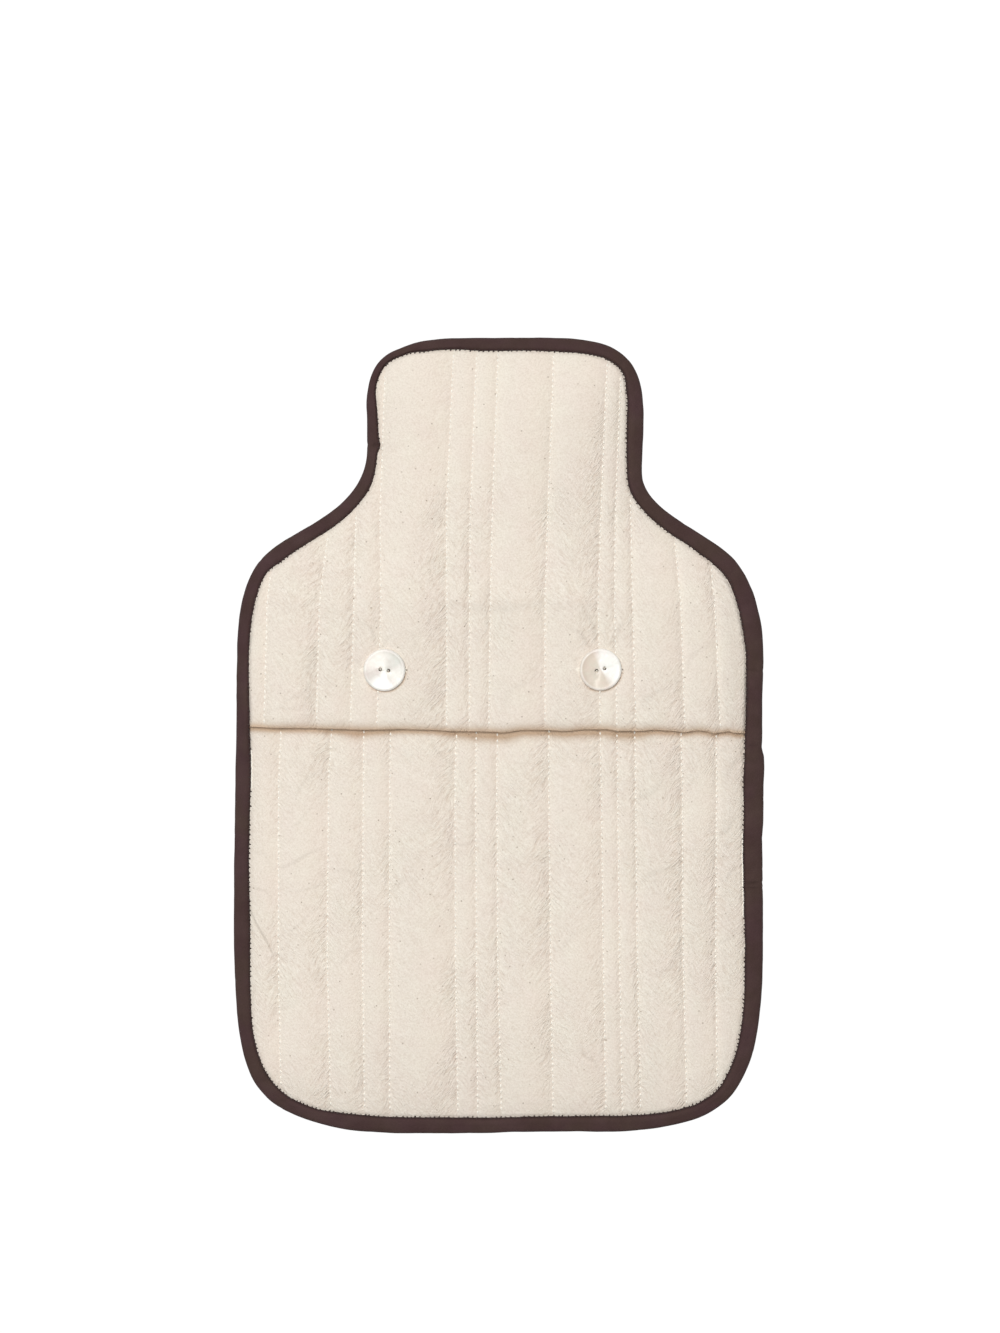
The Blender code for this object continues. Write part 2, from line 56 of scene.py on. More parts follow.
# The outer edge of the strip, counter-clockwise from the right of the foot, as anchors of a
# Bezier loop.
# x, y, heading (degrees), handle before, handle after
OUTLINE = (
    (34.0, -180.0, 0, 20, 73),
    (120.0, -94.0, 90, 72, 16),
    (119.6, 33.0, 90, 20, 42),
    (89.5, 92.3, 149, 17, 13),
    (64.4, 119.5, 90, 12, 9),
    (65.4, 145.5, 90, 9, 28),
    (26.5, 180.0, 180, 25, 10),
    (-17.0, 180.0, 180, 10, 35),
    (-60.0, 151.5, 270, 16, 3),
    (-59.5, 130.0, 270, 16, 20),
    (-88.8, 93.2, 210, 14, 18),
    (-118.6, 35.5, 270, 43, 14),
    (-120.0, -90.0, 270, 31, 69),
    (-36.0, -180.0, 0, 79, 20),
)
# How unevenly the strip was sewn on, going once round from the first anchor.
# how far round, how far its outer edge swings out, how far in its inner edge lies
STRIP_EDGES = (
    (0, -0.3, 7.4), (12, 0.0, 7.4), (24, 0.3, 7.0), (48, 0.3, 6.2), (60, 0.5, 5.8),
    (72, 0.5, 6.0), (84, 0.0, 7.2), (108, -0.1, 7.8), (144, -0.1, 8.3), (168, 0.0, 8.7),
    (192, -0.3, 9.0), (204, 0.3, 8.7), (217, 0.4, 8.8), (227, 0.8, 8.5), (231, 0.7, 8.3),
    (236, -0.2, 8.2), (252, 0.0, 7.6), (276, 0.5, 7.4), (288, 0.6, 8.2), (300, 0.2, 8.4),
    (324, 0.2, 7.9), (336, -0.1, 7.9), (348, 0.3, 7.1), (372, 0.3, 6.6), (384, 0.7, 6.2),
    (396, 0.6, 6.9), (408, 0.5, 7.2), (420, 0.4, 6.6), (432, 0.3, 5.4), (444, 0.1, 6.0),
    (456, -0.2, 6.3), (468, 0.1, 6.4), (480, 0.2, 5.8), (504, 0.1, 5.9), (516, 0.1, 5.3),
    (528, -0.1, 5.1), (540, -0.3, 4.1), (552, -0.1, 3.5), (564, -0.4, 4.0), (576, -0.1, 4.8),
    (589, 0.0, 5.3), (593, 0.0, 6.0), (597, 0.0, 4.7), (612, 0.0, 5.8), (636, -0.1, 6.4),
    (660, -0.1, 7.2), (672, 0.0, 5.7), (684, -0.1, 6.1), (720, 0.0, 5.6), (744, -0.2, 6.3),
    (768, -0.1, 7.1), (804, 0.0, 6.7), (840, 0.0, 7.5), (864, -0.4, 7.3), (888, -0.2, 6.5),
    (912, 0.4, 6.5), (936, 0.0, 6.2), (960, 0.6, 6.9), (1008, 0.5, 6.8), (1020, 0.4, 6.6),
    (1032, -0.1, 7.0), (1048, -0.2, 7.4),
)
# Small folds that run across the strip.
# how far round, half width, depth
STRIP_CREASES = (
    (30, 0.8, 0.12), (97, 0.9, 0.10), (172.4, 0.7, 0.32), (174.8, 0.8, 0.42), (181, 0.9, 0.14),
    (195, 0.9, 0.22), (213, 1.0, 0.12), (237, 0.9, 0.25), (271, 0.6, 0.25), (310, 1.0, 0.12),
    (352, 1.0, 0.14), (380, 1.2, 0.12), (437, 1.0, 0.12), (490, 0.9, 0.10), (543, 0.9, 0.12),
    (593, 0.7, 0.35), (640, 1.0, 0.10), (668, 0.8, 0.16), (730, 1.0, 0.10), (795, 0.7, 0.14),
    (861, 0.9, 0.12), (925, 1.0, 0.14), (968, 0.8, 0.10), (1012, 0.8, 0.12),
)
LONGEST_STEP = 0.75  # between points of the outline
SHARPEST_STEP = 3.0  # degrees
HALF_WIDE, HALF_LONG = 120.0, 180.0

# Lines of stitching down the cloth, as the X where each crosses a station of Y.
POCKET_STATIONS = (-165.0, -100.0, -20.0, 0.0)
POCKET_LINES = (
    (-98.4, -99.6, -99.5, -98.5),
    (-76.0, -77.4, -76.8, -75.6),
    (-60.6, -61.4, -61.0, -60.8),
    (-49.2, -49.2, -49.0, -48.8),
    (-18.4, -19.4, -19.6, -19.0),
    (-9.4, -9.9, -10.3, -10.0),
    (1.2, -0.3, -0.7, -0.5),
    (24.7, 23.5, 22.8, 22.8),
    (48.6, 47.4, 46.5, 46.0),
    (56.1, 54.7, 53.9, 53.6),
    (64.3, 62.8, 62.0, 61.6),
    (85.2, 83.6, 83.2, 82.6),
    (99.2, 98.4, 98.8, 98.6),
)
FLAP_STATIONS = (5.0, 60.0, 100.0, 135.0, 170.0)
FLAP_LINES = (
    (-106.0, -104.6, -100.0, -95.0, -90.0),
    (-82.2, -80.8, -76.4, -72.0, -68.0),
    (-66.8, -65.2, -64.6, -64.2, -64.0),
    (-54.8, -53.0, -53.6, -52.4, -51.2),
    (-23.4, -23.2, -23.5, -22.0, -20.4),
    (-13.2, -13.0, -12.7, -11.3, -10.0),
    (-4.3, -3.6, -2.8, -1.4, -0.3),
    (21.0, 21.0, 22.4, 23.7, 25.0),
    (46.0, 45.0, 46.4, 47.8, 49.4),
    (53.4, 52.5, 53.0, 54.4, 55.6),
    (62.0, 60.6, 60.0, 59.8, 59.6),
    (84.2, 82.4, 79.0, 76.0, 73.0),
    (100.2, 97.8, 94.0, 90.0, 86.0),
)
BACK_STATIONS = (-165.0, 0.0, 170.0)
BACK_LINES = tuple((x, x, 0.94 * x) for x in
                   (-98.0, -76.0, -55.0, -33.0, -11.0, 12.0, 34.0, 55.0, 77.0, 99.0))
OUTERMOST_LINE = 114.0

# Thickness and layers. At the strip the cloths lie flat on each other; inwards they swell.
SEAM_CLOTH = 1.0  # quilted cloth pressed flat in the seam
STRIP_CLOTH = 1.0
LAYER_GAP = 0.3
RAW_EDGE_IN = 2.8  # from the outer edge to the cut edge of the cloth
STITCHED_CLOTH = 2.2  # along a line of stitching
CHANNEL_SWELL = 1.4  # more than that at the crest of a wide channel
WIDE_CHANNEL = 20.0
NARROW_POWER = 0.9  # how the swell of a narrower channel falls with its width
CHANNEL_FULLNESS = 3.0
UNEVEN_SWELL = 0.06
SWELL_REACH = 14.0
SWELL_AT_ONCE, SWELL_STEP = 0.45, 0.9  # how much of it comes up close beside the strip
SEAM_PUFF = 0.15  # cloth stands up where it comes out from under the strip
SEAM_PUFF_FROM, SEAM_PUFF_OVER = 0.02, 0.7
CROWN_REACH = 60.0
CROWN_SOFT = 7  # steps of the grid to each side
CROWN_SOFT_IN = 16.0  # how far in from the strip the crown is softened in full
POCKET_RISE = 7.6
FLAP_RISE = 7.6
SWAY = 0.3  # slow unevenness of the filled cloth
POCKET_UNDER_SWELL = 0.6  # what a channel of the pocket swells downwards
FLAP_UNDER_SWELL = 0.4
LIFT_FROM, LIFT_OVER = -15.0, 9.0  # Y where the strip starts to lift for the flap, and the run
DROP_AFTER, DROP_OVER = 2.0, 11.0  # the same beyond the pocket's hem

# The back settles on the surface below it: its channels lie flat there, with grooves between.
BACK_GROOVE = 1.0
BACK_SETTLE_REACH = 4.0
BACK_SWELL_REACH = 14.0
BACK_FLATNESS = 1.7
BACK_STITCHED_RISE = 0.7
BACK_CREST_RISE = 1.1
BACK_PUCKER = 0.8  # share of the fine relief that its outer face shows in the grooves

# The pocket's top hem lies hidden under the flap, which ends in a soft fold.
POCKET_TOP = 59.0
HEM_ROUND = 2.2
HEM_PINCH = 0.6
POCKET_HIDDEN_FROM, POCKET_HIDDEN_OVER = 2.0, 6.0  # Y where its relief fades out
POCKET_PUFF_TO, POCKET_PUFF_OVER = -6.0, 5.0  # Y where it no longer puffs up at the strip
FLAP_DROP = 36.0  # over which the flap comes down beyond the pocket's hem
FLAP_LIFT = 2.75  # what it lifts to clear the pocket's filled channels
FOLD_ROUND = 5.5
FOLD_THIN = 0.28  # thickness at the very edge, as a part of the cloth's

# The free edge of the flap, from left to right: a soft wave, drawn in at its lines of stitching.
# x, y
FLAP_EDGE = (
    (-118.0, 4.1), (-112.5, 3.8), (-100.0, 3.2), (-84.0, 3.1), (-71.7, 2.7), (-60.4, 2.4),
    (-45.9, 2.7), (-31.9, 2.4), (-19.7, 1.8), (-11.1, 1.7), (-2.5, 1.5), (1.6, 1.2), (11.4, 2.3),
    (20.1, 2.4), (29.6, 1.8), (39.1, 2.6), (47.7, 2.7), (54.5, 1.9), (64.0, 1.9), (70.8, 2.35),
    (78.1, 1.9), (83.5, 1.3), (90.1, 2.1), (94.2, 1.7), (97.5, 0.8), (101.1, 1.3), (103.9, 1.7),
    (107.2, 0.95), (118.0, 0.8),
)

# How far the painted shadow on the pocket reaches from under the flap.
# x, reach
UNDER_FLAP = (
    (-112.0, 1.2), (-83.0, 1.2), (-74.0, 1.5), (-64.0, 2.7), (-54.0, 1.8), (-44.0, 1.2),
    (-30.0, 1.2), (-20.0, 2.0), (-10.0, 2.9), (5.0, 2.9), (12.0, 2.1), (25.0, 2.1), (38.0, 2.5),
    (48.0, 2.5), (60.0, 2.9), (70.0, 1.6), (82.0, 1.2), (112.0, 1.2),
)

# Fine relief of the cloth
GROOVE_DEEP = 0.14  # the tight furrow that a line of stitching pulls into the cloth
GROOVE_WIDE = 0.8
NEEDLE_PULL = 0.14  # what each needle hole pulls down more
NEEDLE_REACH = 1.5
CRINKLE = 0.05  # height of the slanted crinkles in the right half of a channel
BACKWARD_CRINKLE = 0.03  # of those in the left half, which slant the other way
FORWARD_SLANT, BACKWARD_SLANT = 53.0, -48.0  # degrees
CRINKLE_SIZE = (6.5, 1.8)  # length and width
FINER_SIZE, FINER_TURN = (5.5, 1.2), 8.0
CRINKLE_BEND = 0.84  # how far crinkles are shifted sideways, here more and there less
LUMPS = 0.17
LUMP_LONG, LUMP_WIDE, LUMP_SLANT = 24.0, 12.0, 74.0
# The crinkles grow faint up the neck, from this Y and over this run, later at its right.
CALM_NECK_FROM, CALM_NECK_OVER = 85.0, 60.0
CALM_NECK_LATER = 28.0
CALM_NECK_MIDDLE, CALM_NECK_ACROSS = 5.0, 35.0
CALM_NECK = 0.35  # what is left of them
CREASE_SWAY = 0.8  # of its half width
# strength of the painted shade along the bottom of a crease
CREASE_SHADE_STRENGTH = 0.75
HEM_SHOWS = 0.12  # the hidden hem presses a faint step into the flap
HEM_SHOWS_OVER = 3.0
HEM_SHOWS_AT, HEM_SHOWS_ACROSS = 8.0, 62.0
HEM_SHOWS_DOWN = 26.0

# Creases pressed into the cloth. Each is a soft trough, with the cloth on its left side, looking
# from its start to its end, standing a little higher.
# start x, start y, end x, end y, half width, depth, rise on the left
POCKET_CREASES = (
    (-112.8, -78.0, -102.6, -99.2, 0.6, 0.80, -0.45),
    (-103.2, -98.2, -96.5, -101.6, 0.8, 0.26, -0.15),
    (-112.0, -68.0, -104.0, -72.5, 1.0, 0.22, -0.15),
    (-111.0, -52.0, -103.0, -58.0, 1.4, 0.16, -0.10),
    (-100.0, -60.5, -80.5, -52.5, 0.8, 0.24, 0.10),
    (-94.0, -70.5, -80.0, -69.0, 0.7, 0.16, 0.0),
    (-94.0, -88.0, -82.0, -79.0, 0.8, 0.16, 0.0),
    (-94.0, -42.0, -84.0, -34.0, 0.8, 0.14, 0.0),
    (-92.0, -26.0, -80.0, -16.0, 1.2, 0.16, 0.0),
    (-72.0, -61.5, -62.5, -63.0, 0.9, 0.22, 0.0),
    (-74.0, -104.0, -62.0, -96.0, 1.2, 0.14, 0.0),
    (-48.0, -70.0, -36.0, -64.0, 1.6, 0.10, 0.0),
    (-33.0, 1.0, -23.0, -12.0, 1.1, 0.20, 0.0),
    (-20.0, -50.0, -10.5, -48.5, 0.9, 0.20, 0.0),
    (-9.0, -20.0, -1.0, -28.0, 1.2, 0.14, 0.0),
    (26.0, -96.0, 40.0, -88.0, 1.5, 0.12, 0.0),
    (32.0, -8.0, 45.0, -16.0, 1.3, 0.16, 0.0),
    (38.0, -142.0, 44.0, -150.0, 1.0, 0.30, 0.0),
    (46.0, -144.0, 50.0, -136.0, 1.0, 0.22, 0.0),
    (62.0, -30.0, 76.0, -20.0, 1.4, 0.18, 0.0),
    (66.0, -66.0, 80.0, -58.0, 1.3, 0.18, 0.0),
    (68.0, -112.0, 82.0, -100.0, 1.5, 0.14, 0.0),
    (100.0, -46.0, 108.0, -38.0, 1.1, 0.24, 0.0),
    (101.0, -66.0, 109.0, -60.0, 1.0, 0.24, 0.0),
    (103.5, -22.0, 109.5, -8.0, 1.2, 0.20, 0.0),
    (99.0, -96.0, 109.0, -88.0, 1.2, 0.18, 0.0),
    (-104.0, -130.0, -92.0, -120.0, 1.4, 0.14, 0.0),
)
FLAP_CREASES = (
    (-60.0, 50.0, -54.5, 41.5, 1.1, 0.34, 0.0),
    (-57.0, 38.0, -48.0, 44.5, 1.0, 0.22, 0.0),
    (-66.0, 34.0, -61.0, 31.0, 1.0, 0.20, 0.0),
    (34.5, 47.0, 42.0, 40.5, 1.1, 0.36, 0.0),
    (39.5, 57.0, 44.5, 42.0, 1.2, 0.34, 0.0),
    (51.0, 42.5, 57.0, 50.0, 1.1, 0.26, 0.0),
    (-104.0, 10.0, -92.0, 13.0, 1.3, 0.16, 0.0),
    (-96.0, 14.0, -86.0, 22.0, 1.3, 0.16, 0.0),
    (66.0, 14.0, 80.0, 24.0, 1.4, 0.16, 0.0),
    (84.0, 30.0, 96.0, 42.0, 1.5, 0.14, 0.0),
    (-40.0, 8.0, -28.0, 15.0, 1.5, 0.14, 0.0),
    (3.0, 16.0, 14.0, 26.0, 1.6, 0.12, 0.0),
    (-26.0, 58.6, 22.0, 58.2, 2.2, 0.16, 0.12),
    (-88.0, 58.0, -78.0, 66.0, 1.4, 0.12, 0.0),
    (46.0, 108.0, 52.0, 96.0, 1.4, 0.14, 0.0),
)

# Stitches of the quilting
STITCH_PITCH = 2.69
STITCH_LONG = 1.55
STITCH_WIDE = 0.72
STITCH_HIGH = 0.6
STITCH_ARCH = 0.22
STITCH_OUT = 0.3  # of its height, from the cloth to its middle
STITCH_FIRST_IN = 1.6  # how far in from the strip a line starts
STITCH_ASTRAY_X, STITCH_ASTRAY_Y = 0.05, 0.06
STITCH_SHORTEST, STITCH_LONGEST = 0.86, 1.12  # as a share of its length
STITCH_LEAN = 0.07
BACK_STITCH_SUNK = 0.35

# Strip
STRIP_ROUND = 3.0  # how far in its rounded outer edge reaches
STRIP_WAVE = 0.10  # unevenness of its outer edge
STRIP_RIPPLE = 0.2  # of its face
STRIP_TEETH = 0.10  # of its inner edge
STRIP_CROWN = 0.3
STRIP_PRESSED = 0.35  # what the inner edge is pressed down
# strength of the painted shade in the strip's folds
STRIP_CREASE_SHADE_STRENGTH = 3.0
STRIP_CREASE_CLEAN = 0.13  # no darker where a fold is less deep than this
STRIP_STITCH_FURTHER = -0.08  # from the strip's inner edge to the middle of its stitches
STRIP_STITCH_ASTRAY = 0.18
STRIP_STITCH_PITCH = 2.15
STRIP_STITCH_UNEVEN = 0.22  # of its pitch
STRIP_STITCH_LONG = 1.45
STRIP_STITCH_WIDE = 0.6
STRIP_STITCH_HIGH = 0.44
STRIP_STITCH_ARCH = 0.10
STRIP_STITCH_LOW = 0.30  # from the top of the strip down to the middle of a stitch
STRIP_STITCH_TURN = 62.0  # degrees from the strip's own direction
STRIP_STITCH_TURN_UNEVEN = 8.0
STRIP_STITCH_UNDER = 0.32
# Where the strip's stitches lie further under its edge: from and to, how far round.
HIDDEN_STITCHES = ((246.0, 345.0), (548.0, 655.0), (700.0, 778.0), (862.0, 880.0))
HIDDEN_STITCHES_OVER = 8.0

# Where a pale thread shows beside the strip: side, and from which Y to which.
EDGE_THREAD_PITCH = 0.9
EDGE_THREAD_IN = 0.42  # from the strip's inner edge
EDGE_THREAD_UP = 0.16  # from the cloth to its middle
EDGE_THREAD_SIZE = (0.6, 0.3, 0.3)  # half its length, width and height, as in the other sizes
EDGE_THREADS = (
    (-1, -24.0, -7.0),
    (1, -82.0, -44.0),
)

# Buttons, as in the solids
BUTTON_ACROSS = 19.0
BUTTON_THICK = 1.6
BUTTON_CLEAR = 0.12  # above the pressed cloth
BUTTON_DISH = 0.25
# how far in from its edge, how far below the top of its rim
BUTTON_FACE = (
    (0.0, 0.7), (0.15, 0.4), (0.4, 0.2), (0.8, 0.05), (0.85, 0.008), (1.125, 0.03), (1.5, 0.105),
    (2.2, 0.1875), (3.1, 0.22), (9.5, BUTTON_DISH),
)
# how far in from its edge, how high above its underside
BUTTON_BACK = ((0.0, 0.8), (0.2, 0.45), (0.5, 0.2), (1.0, 0.0))
BUTTON_RINGS = (0.5, 2.0, 3.5, 4.6, 5.3, 5.9, 6.4, 6.9, 7.3, 7.7, 8.0, 8.35, 8.65, 8.9, 9.15, 9.3,
                9.42)  # radii of its rings of points
EYE_ACROSS = 1.7
EYES_X = (-1.9, 1.9)
EYE_STEPS = 28
EYE_WORN = 0.12  # how much the rim of an eye is rounded down
FULL_CHANNEL = 4.1  # thickness of the solids' widest channels at their crest
SEAT_PRESS = 0.8
SEAT_ACROSS = 19.6
SEAT_SLOPE_ACROSS = 25.0
# Which way the painted shadow of the buttons falls on the flap.
BUTTON_SHADOW_WAY = (0.45, -0.89)  # which way the buttons shade the cloth
SLIT_LONG = 21.0
SLIT_WIDE = 1.4
EYE_THREAD_DEEP = (0.62, 1.0)  # where the thread in an eye lies below the button's face
EYE_THREAD_SIZE = (0.5, 0.4, 0.48)
EYE_THREAD_TAUT = 0.15  # how far the thread is drawn towards the button's middle
HOLE_STITCHES = 98  # round each buttonhole
HOLE_STITCH_SIZE = (0.62, 0.2, 0.17)
HOLE_STITCH_ARCH = 0.1
# name, x, y, turn of the two eyes (degrees), lean: how much the +X side is higher (degrees)
BUTTONS = (
    ("button_left", -51.4, 29.5, -9.0, 3.0),
    ("button_right", 46.0, 29.7, 18.0, -3.0),
)

# Wedges of painted light and shade on each button's shell, standing for its sheen, left and right.
# degrees from +X, colour
SHELL_WEDGES = (
    ((0, (0.83, 0.79, 0.75)), (25, (0.67, 0.66, 0.615)), (62, (0.69, 0.685, 0.63)),
     (100, (0.91, 0.885, 0.83)), (160, (0.90, 0.865, 0.81)),
     (185, (0.69, 0.64, 0.595)), (212, (0.70, 0.65, 0.61)),
     (246, (0.97, 0.965, 0.955)), (286, (0.97, 0.965, 0.955)), (300, (0.78, 0.75, 0.71)),
     (330, (0.88, 0.84, 0.80)), (360, (0.83, 0.79, 0.75))),
    ((0, (0.94, 0.92, 0.90)), (14, (0.86, 0.855, 0.815)), (35, (0.95, 0.925, 0.90)),
     (86, (0.96, 0.935, 0.91)), (118, (0.70, 0.615, 0.525)), (165, (0.68, 0.595, 0.505)),
     (225, (0.67, 0.585, 0.50)), (246, (0.71, 0.62, 0.53)), (257, (0.89, 0.80, 0.71)),
     (268, (0.73, 0.635, 0.545)), (292, (0.67, 0.58, 0.495)), (320, (0.90, 0.87, 0.83)),
     (340, (0.94, 0.92, 0.90)), (360, (0.94, 0.92, 0.90))),
)

# Mesh steps
POCKET_STEP = 0.9
POCKET_STITCHES_TO = 6.0  # Y, under the flap
POCKET_COARSE_FROM = 12.0  # Y beyond which it is hidden well under the flap
FLAP_STEP = 0.85
FOLD_ROWS = (0.12, 0.35, 0.7, 1.15, 1.7)  # rows of points along the flap's fold
FOLD_ROWS_TO = 2.4
BACK_STEP = 1.35
HIDDEN_STEP = 6.0  # on faces that nobody sees
HIDDEN_CLEAR = 3.0  # from their edge
CLEAR_OF_EDGE = 0.5  # the same for faces that show
BESIDE_LINE = 0.4  # from a line of stitching to the next column of points
NEAREST = 0.4  # between the ends of a cut edge and its other points


# --- curves and soft steps -------------------------------------------------------------------


def clip01(t):
    return np.clip(t, 0.0, 1.0)


def ease(t):
    """0 to 1 with level ends."""
    t = clip01(t)
    return t * t * (3 - 2 * t)


def dome(t):
    """0 to 1, steep at first and level at the end."""
    t = clip01(t)
    return t * (2 - t)


def hump(distance, reach):
    """1 at no distance, falling off softly over the reach."""
    return np.exp(-(distance / reach) ** 2)


def noise(x, y, long, wide, turn, seed):
    """Smooth noise from -1 to 1, with lumps of a length and width that run along an angle."""
    cells = 512
    lattice = np.random.default_rng(seed).uniform(-1, 1, (cells, cells))
    c, s = math.cos(math.radians(turn)), math.sin(math.radians(turn))
    u, v = (x * c + y * s) / long + 700.5, (y * c - x * s) / wide + 700.5
    i, j = np.floor(u).astype(int), np.floor(v).astype(int)
    fu, fv = ease(u - i), ease(v - j)
    i, j, i2, j2 = i % cells, j % cells, (i + 1) % cells, (j + 1) % cells
    near = lattice[i, j] * (1 - fu) + lattice[i2, j] * fu
    far = lattice[i, j2] * (1 - fu) + lattice[i2, j2] * fu
    return near * (1 - fv) + far * fv


def bezier_span(start, end):
    """Points from one anchor up to the next."""
    turn = abs((end[2] - start[2] + 180) % 360 - 180)
    chord = math.hypot(end[0] - start[0], end[1] - start[1])
    steps = max(2, math.ceil(chord / LONGEST_STEP), math.ceil(turn / SHARPEST_STEP))
    first, last = np.array(start[:2]), np.array(end[:2])
    go, come = math.radians(start[2]), math.radians(end[2])
    second = first + start[4] * np.array((math.cos(go), math.sin(go)))
    third = last - end[3] * np.array((math.cos(come), math.sin(come)))
    t = np.linspace(0, 1, steps, endpoint=False)[:, None]
    return ((1 - t) ** 3 * first + 3 * (1 - t) ** 2 * t * second
            + 3 * (1 - t) * t * t * third + t ** 3 * last)


def run_of(points):
    """How far round each point of a closed loop is, and the length of the whole loop."""
    steps = np.linalg.norm(np.roll(points, -1, axis=0) - points, axis=1)
    return np.concatenate(([0.0], np.cumsum(steps[:-1]))), float(steps.sum())


def around(values, run, length):
    """Reads a table of rows (how far round, value, ...) with soft steps, once round the loop."""
    at = np.array([row[0] for row in values], float)
    k = (np.searchsorted(at, run, side="right") - 1) % len(at)
    gap = np.append(np.diff(at), length - at[-1] + at[0])
    t = ease(((run - at[k]) % length) / gap[k])[:, None]
    rows = np.array([row[1:] for row in values], float)
    return (rows[k] * (1 - t) + rows[(k + 1) % len(at)] * t).T


def outline():
    """The closed outer edge, its inward directions and the strip's width at each point."""
    points = np.concatenate([bezier_span(a, b) for a, b in zip(OUTLINE, OUTLINE[1:] + OUTLINE[:1])])
    along = np.roll(points, -1, axis=0) - np.roll(points, 1, axis=0)
    along /= np.linalg.norm(along, axis=1)[:, None]
    inward = np.stack((-along[:, 1], along[:, 0]), axis=1)
    swing, inset = around(STRIP_EDGES, *run_of(points))
    return points - swing[:, None] * inward, inward, inset + swing


EDGE, EDGE_INWARD, EDGE_WIDTH = outline()
EDGE_RUN, EDGE_AROUND = run_of(EDGE)

# Distances from the edge are worked out once, on a grid of points, and read between them.
GRID_X = np.arange(-124.0, 125.0)
GRID_Y = np.arange(-184.0, 185.0)
EVERY = 3  # points of the edge


def edge_tables():
    """At each point of the grid, the distance from the outer edge and the strip's width there."""
    x, y = np.meshgrid(GRID_X, GRID_Y, indexing="ij")
    away = np.full(x.shape, np.inf)
    width = np.zeros(x.shape)
    inside = np.full(x.shape, False)
    edge = EDGE[::EVERY]
    for (ax, ay), (bx, by), w in zip(edge, np.roll(edge, -1, axis=0), EDGE_WIDTH[::EVERY]):
        rx, ry = bx - ax, by - ay
        t = clip01(((x - ax) * rx + (y - ay) * ry) / (rx * rx + ry * ry))
        here = np.hypot(x - ax - t * rx, y - ay - t * ry)
        width = np.where(here < away, w, width)
        away = np.minimum(here, away)
        crossed = (ay > y) != (by > y)
        inside ^= crossed & (x < ax + (y - ay) * rx / (ry or 1.0))
    return np.where(inside, away, -away), width


AWAY_TABLE, WIDTH_TABLE = edge_tables()


def read_table(table, x, y):
    u, v = np.asarray(x) - GRID_X[0], np.asarray(y) - GRID_Y[0]
    i = np.clip(np.floor(u).astype(int), 0, len(GRID_X) - 2)
    j = np.clip(np.floor(v).astype(int), 0, len(GRID_Y) - 2)
    fu, fv = u - i, v - j
    near = table[i, j] * (1 - fu) + table[i + 1, j] * fu
    far = table[i, j + 1] * (1 - fu) + table[i + 1, j + 1] * fu
    return near * (1 - fv) + far * fv


def crown_table():
    """How high the filled cloth stands: 0 at the strip, 1 far from it, without sharp ridges."""
    depth = AWAY_TABLE - WIDTH_TABLE
    crown = dome(depth / CROWN_REACH)
    soft = crown
    window = np.ones(2 * CROWN_SOFT + 1) / (2 * CROWN_SOFT + 1)
    for axis in (0, 1) * 3:
        ends = [(0, 0), (0, 0)]
        ends[axis] = (CROWN_SOFT, CROWN_SOFT)
        wide = np.pad(soft, ends, mode="edge")
        soft = np.apply_along_axis(np.convolve, axis, wide, window, mode="valid")
    softened = ease(depth / CROWN_SOFT_IN)
    return crown * (1 - softened) + soft * softened


CROWN_TABLE = crown_table()


def crown_at(x, y):
    return read_table(CROWN_TABLE, x, y)


def edge_distance(x, y):
    return read_table(AWAY_TABLE, x, y)


def depth_in(x, y):
    """How far inside the strip's inner edge each point is."""
    return read_table(AWAY_TABLE - WIDTH_TABLE, x, y)


# --- quilting --------------------------------------------------------------------------------


def line_at(stations, line, y):
    """X of a line of stitching at Y."""
    first = (line[1] - line[0]) / (stations[1] - stations[0])
    last = (line[-1] - line[-2]) / (stations[-1] - stations[-2])
    within = np.interp(y, stations, line)
    below = np.minimum(np.asarray(y) - stations[0], 0) * first
    above = np.maximum(np.asarray(y) - stations[-1], 0) * last
    return within + below + above


def channels(stations, lines, x, y):
    """For each point: how far across its channel it is, the channel's width, and its number."""
    grid = [np.full(np.shape(x), -OUTERMOST_LINE)]
    grid += [line_at(stations, line, y) for line in lines]
    grid += [np.full(np.shape(x), OUTERMOST_LINE)]
    part = np.zeros(np.shape(x))
    width = np.full(np.shape(x), 1.0)
    number = np.full(np.shape(x), -1)
    for k, (left, right) in enumerate(zip(grid, grid[1:])):
        across = np.maximum(right - left, 1.0)
        t = (x - left) / across
        inside = (t >= 0) & (t <= 1)
        part = np.where(inside, t, part)
        width = np.where(inside, across, width)
        number = np.where(inside, k, number)
    return part, width, number


def channel_fill(stations, lines, x, y):
    """0 on a line of stitching, up to 1 at the crest of a wide channel."""
    part, width, _ = channels(stations, lines, x, y)
    height = np.minimum(width / WIDE_CHANNEL, 1.0) ** NARROW_POWER
    fill = height * (1 - np.abs(2 * part - 1) ** CHANNEL_FULLNESS)
    return fill * (1 - UNEVEN_SWELL * (1 + np.sin(x / 9.0 + y / 17.0)))


def swell_from_strip(depth):
    """The cloth puffs up beside the strip at once, and then more slowly."""
    slow = np.sin(0.5 * math.pi * clip01(depth / SWELL_REACH))
    return SWELL_AT_ONCE * ease(depth / SWELL_STEP) + (1 - SWELL_AT_ONCE) * slow


def seam_puff(depth):
    """Cloth comes out from under the strip nearly as high as the strip's own edge."""
    return SEAM_PUFF * ease((depth - SEAM_PUFF_FROM) / SEAM_PUFF_OVER)


def sway(x, y):
    """The filled cloth is never quite even."""
    return SWAY * np.sin(x / 31.0 + y / 53.0) * np.sin(y / 41.0 - x / 67.0 + 1.1)


def stitch_phase(line_number):
    """How far along its pitch the first stitch of a line is, from 0 to 1."""
    return (0.37 + 0.618 * line_number) % 1.0


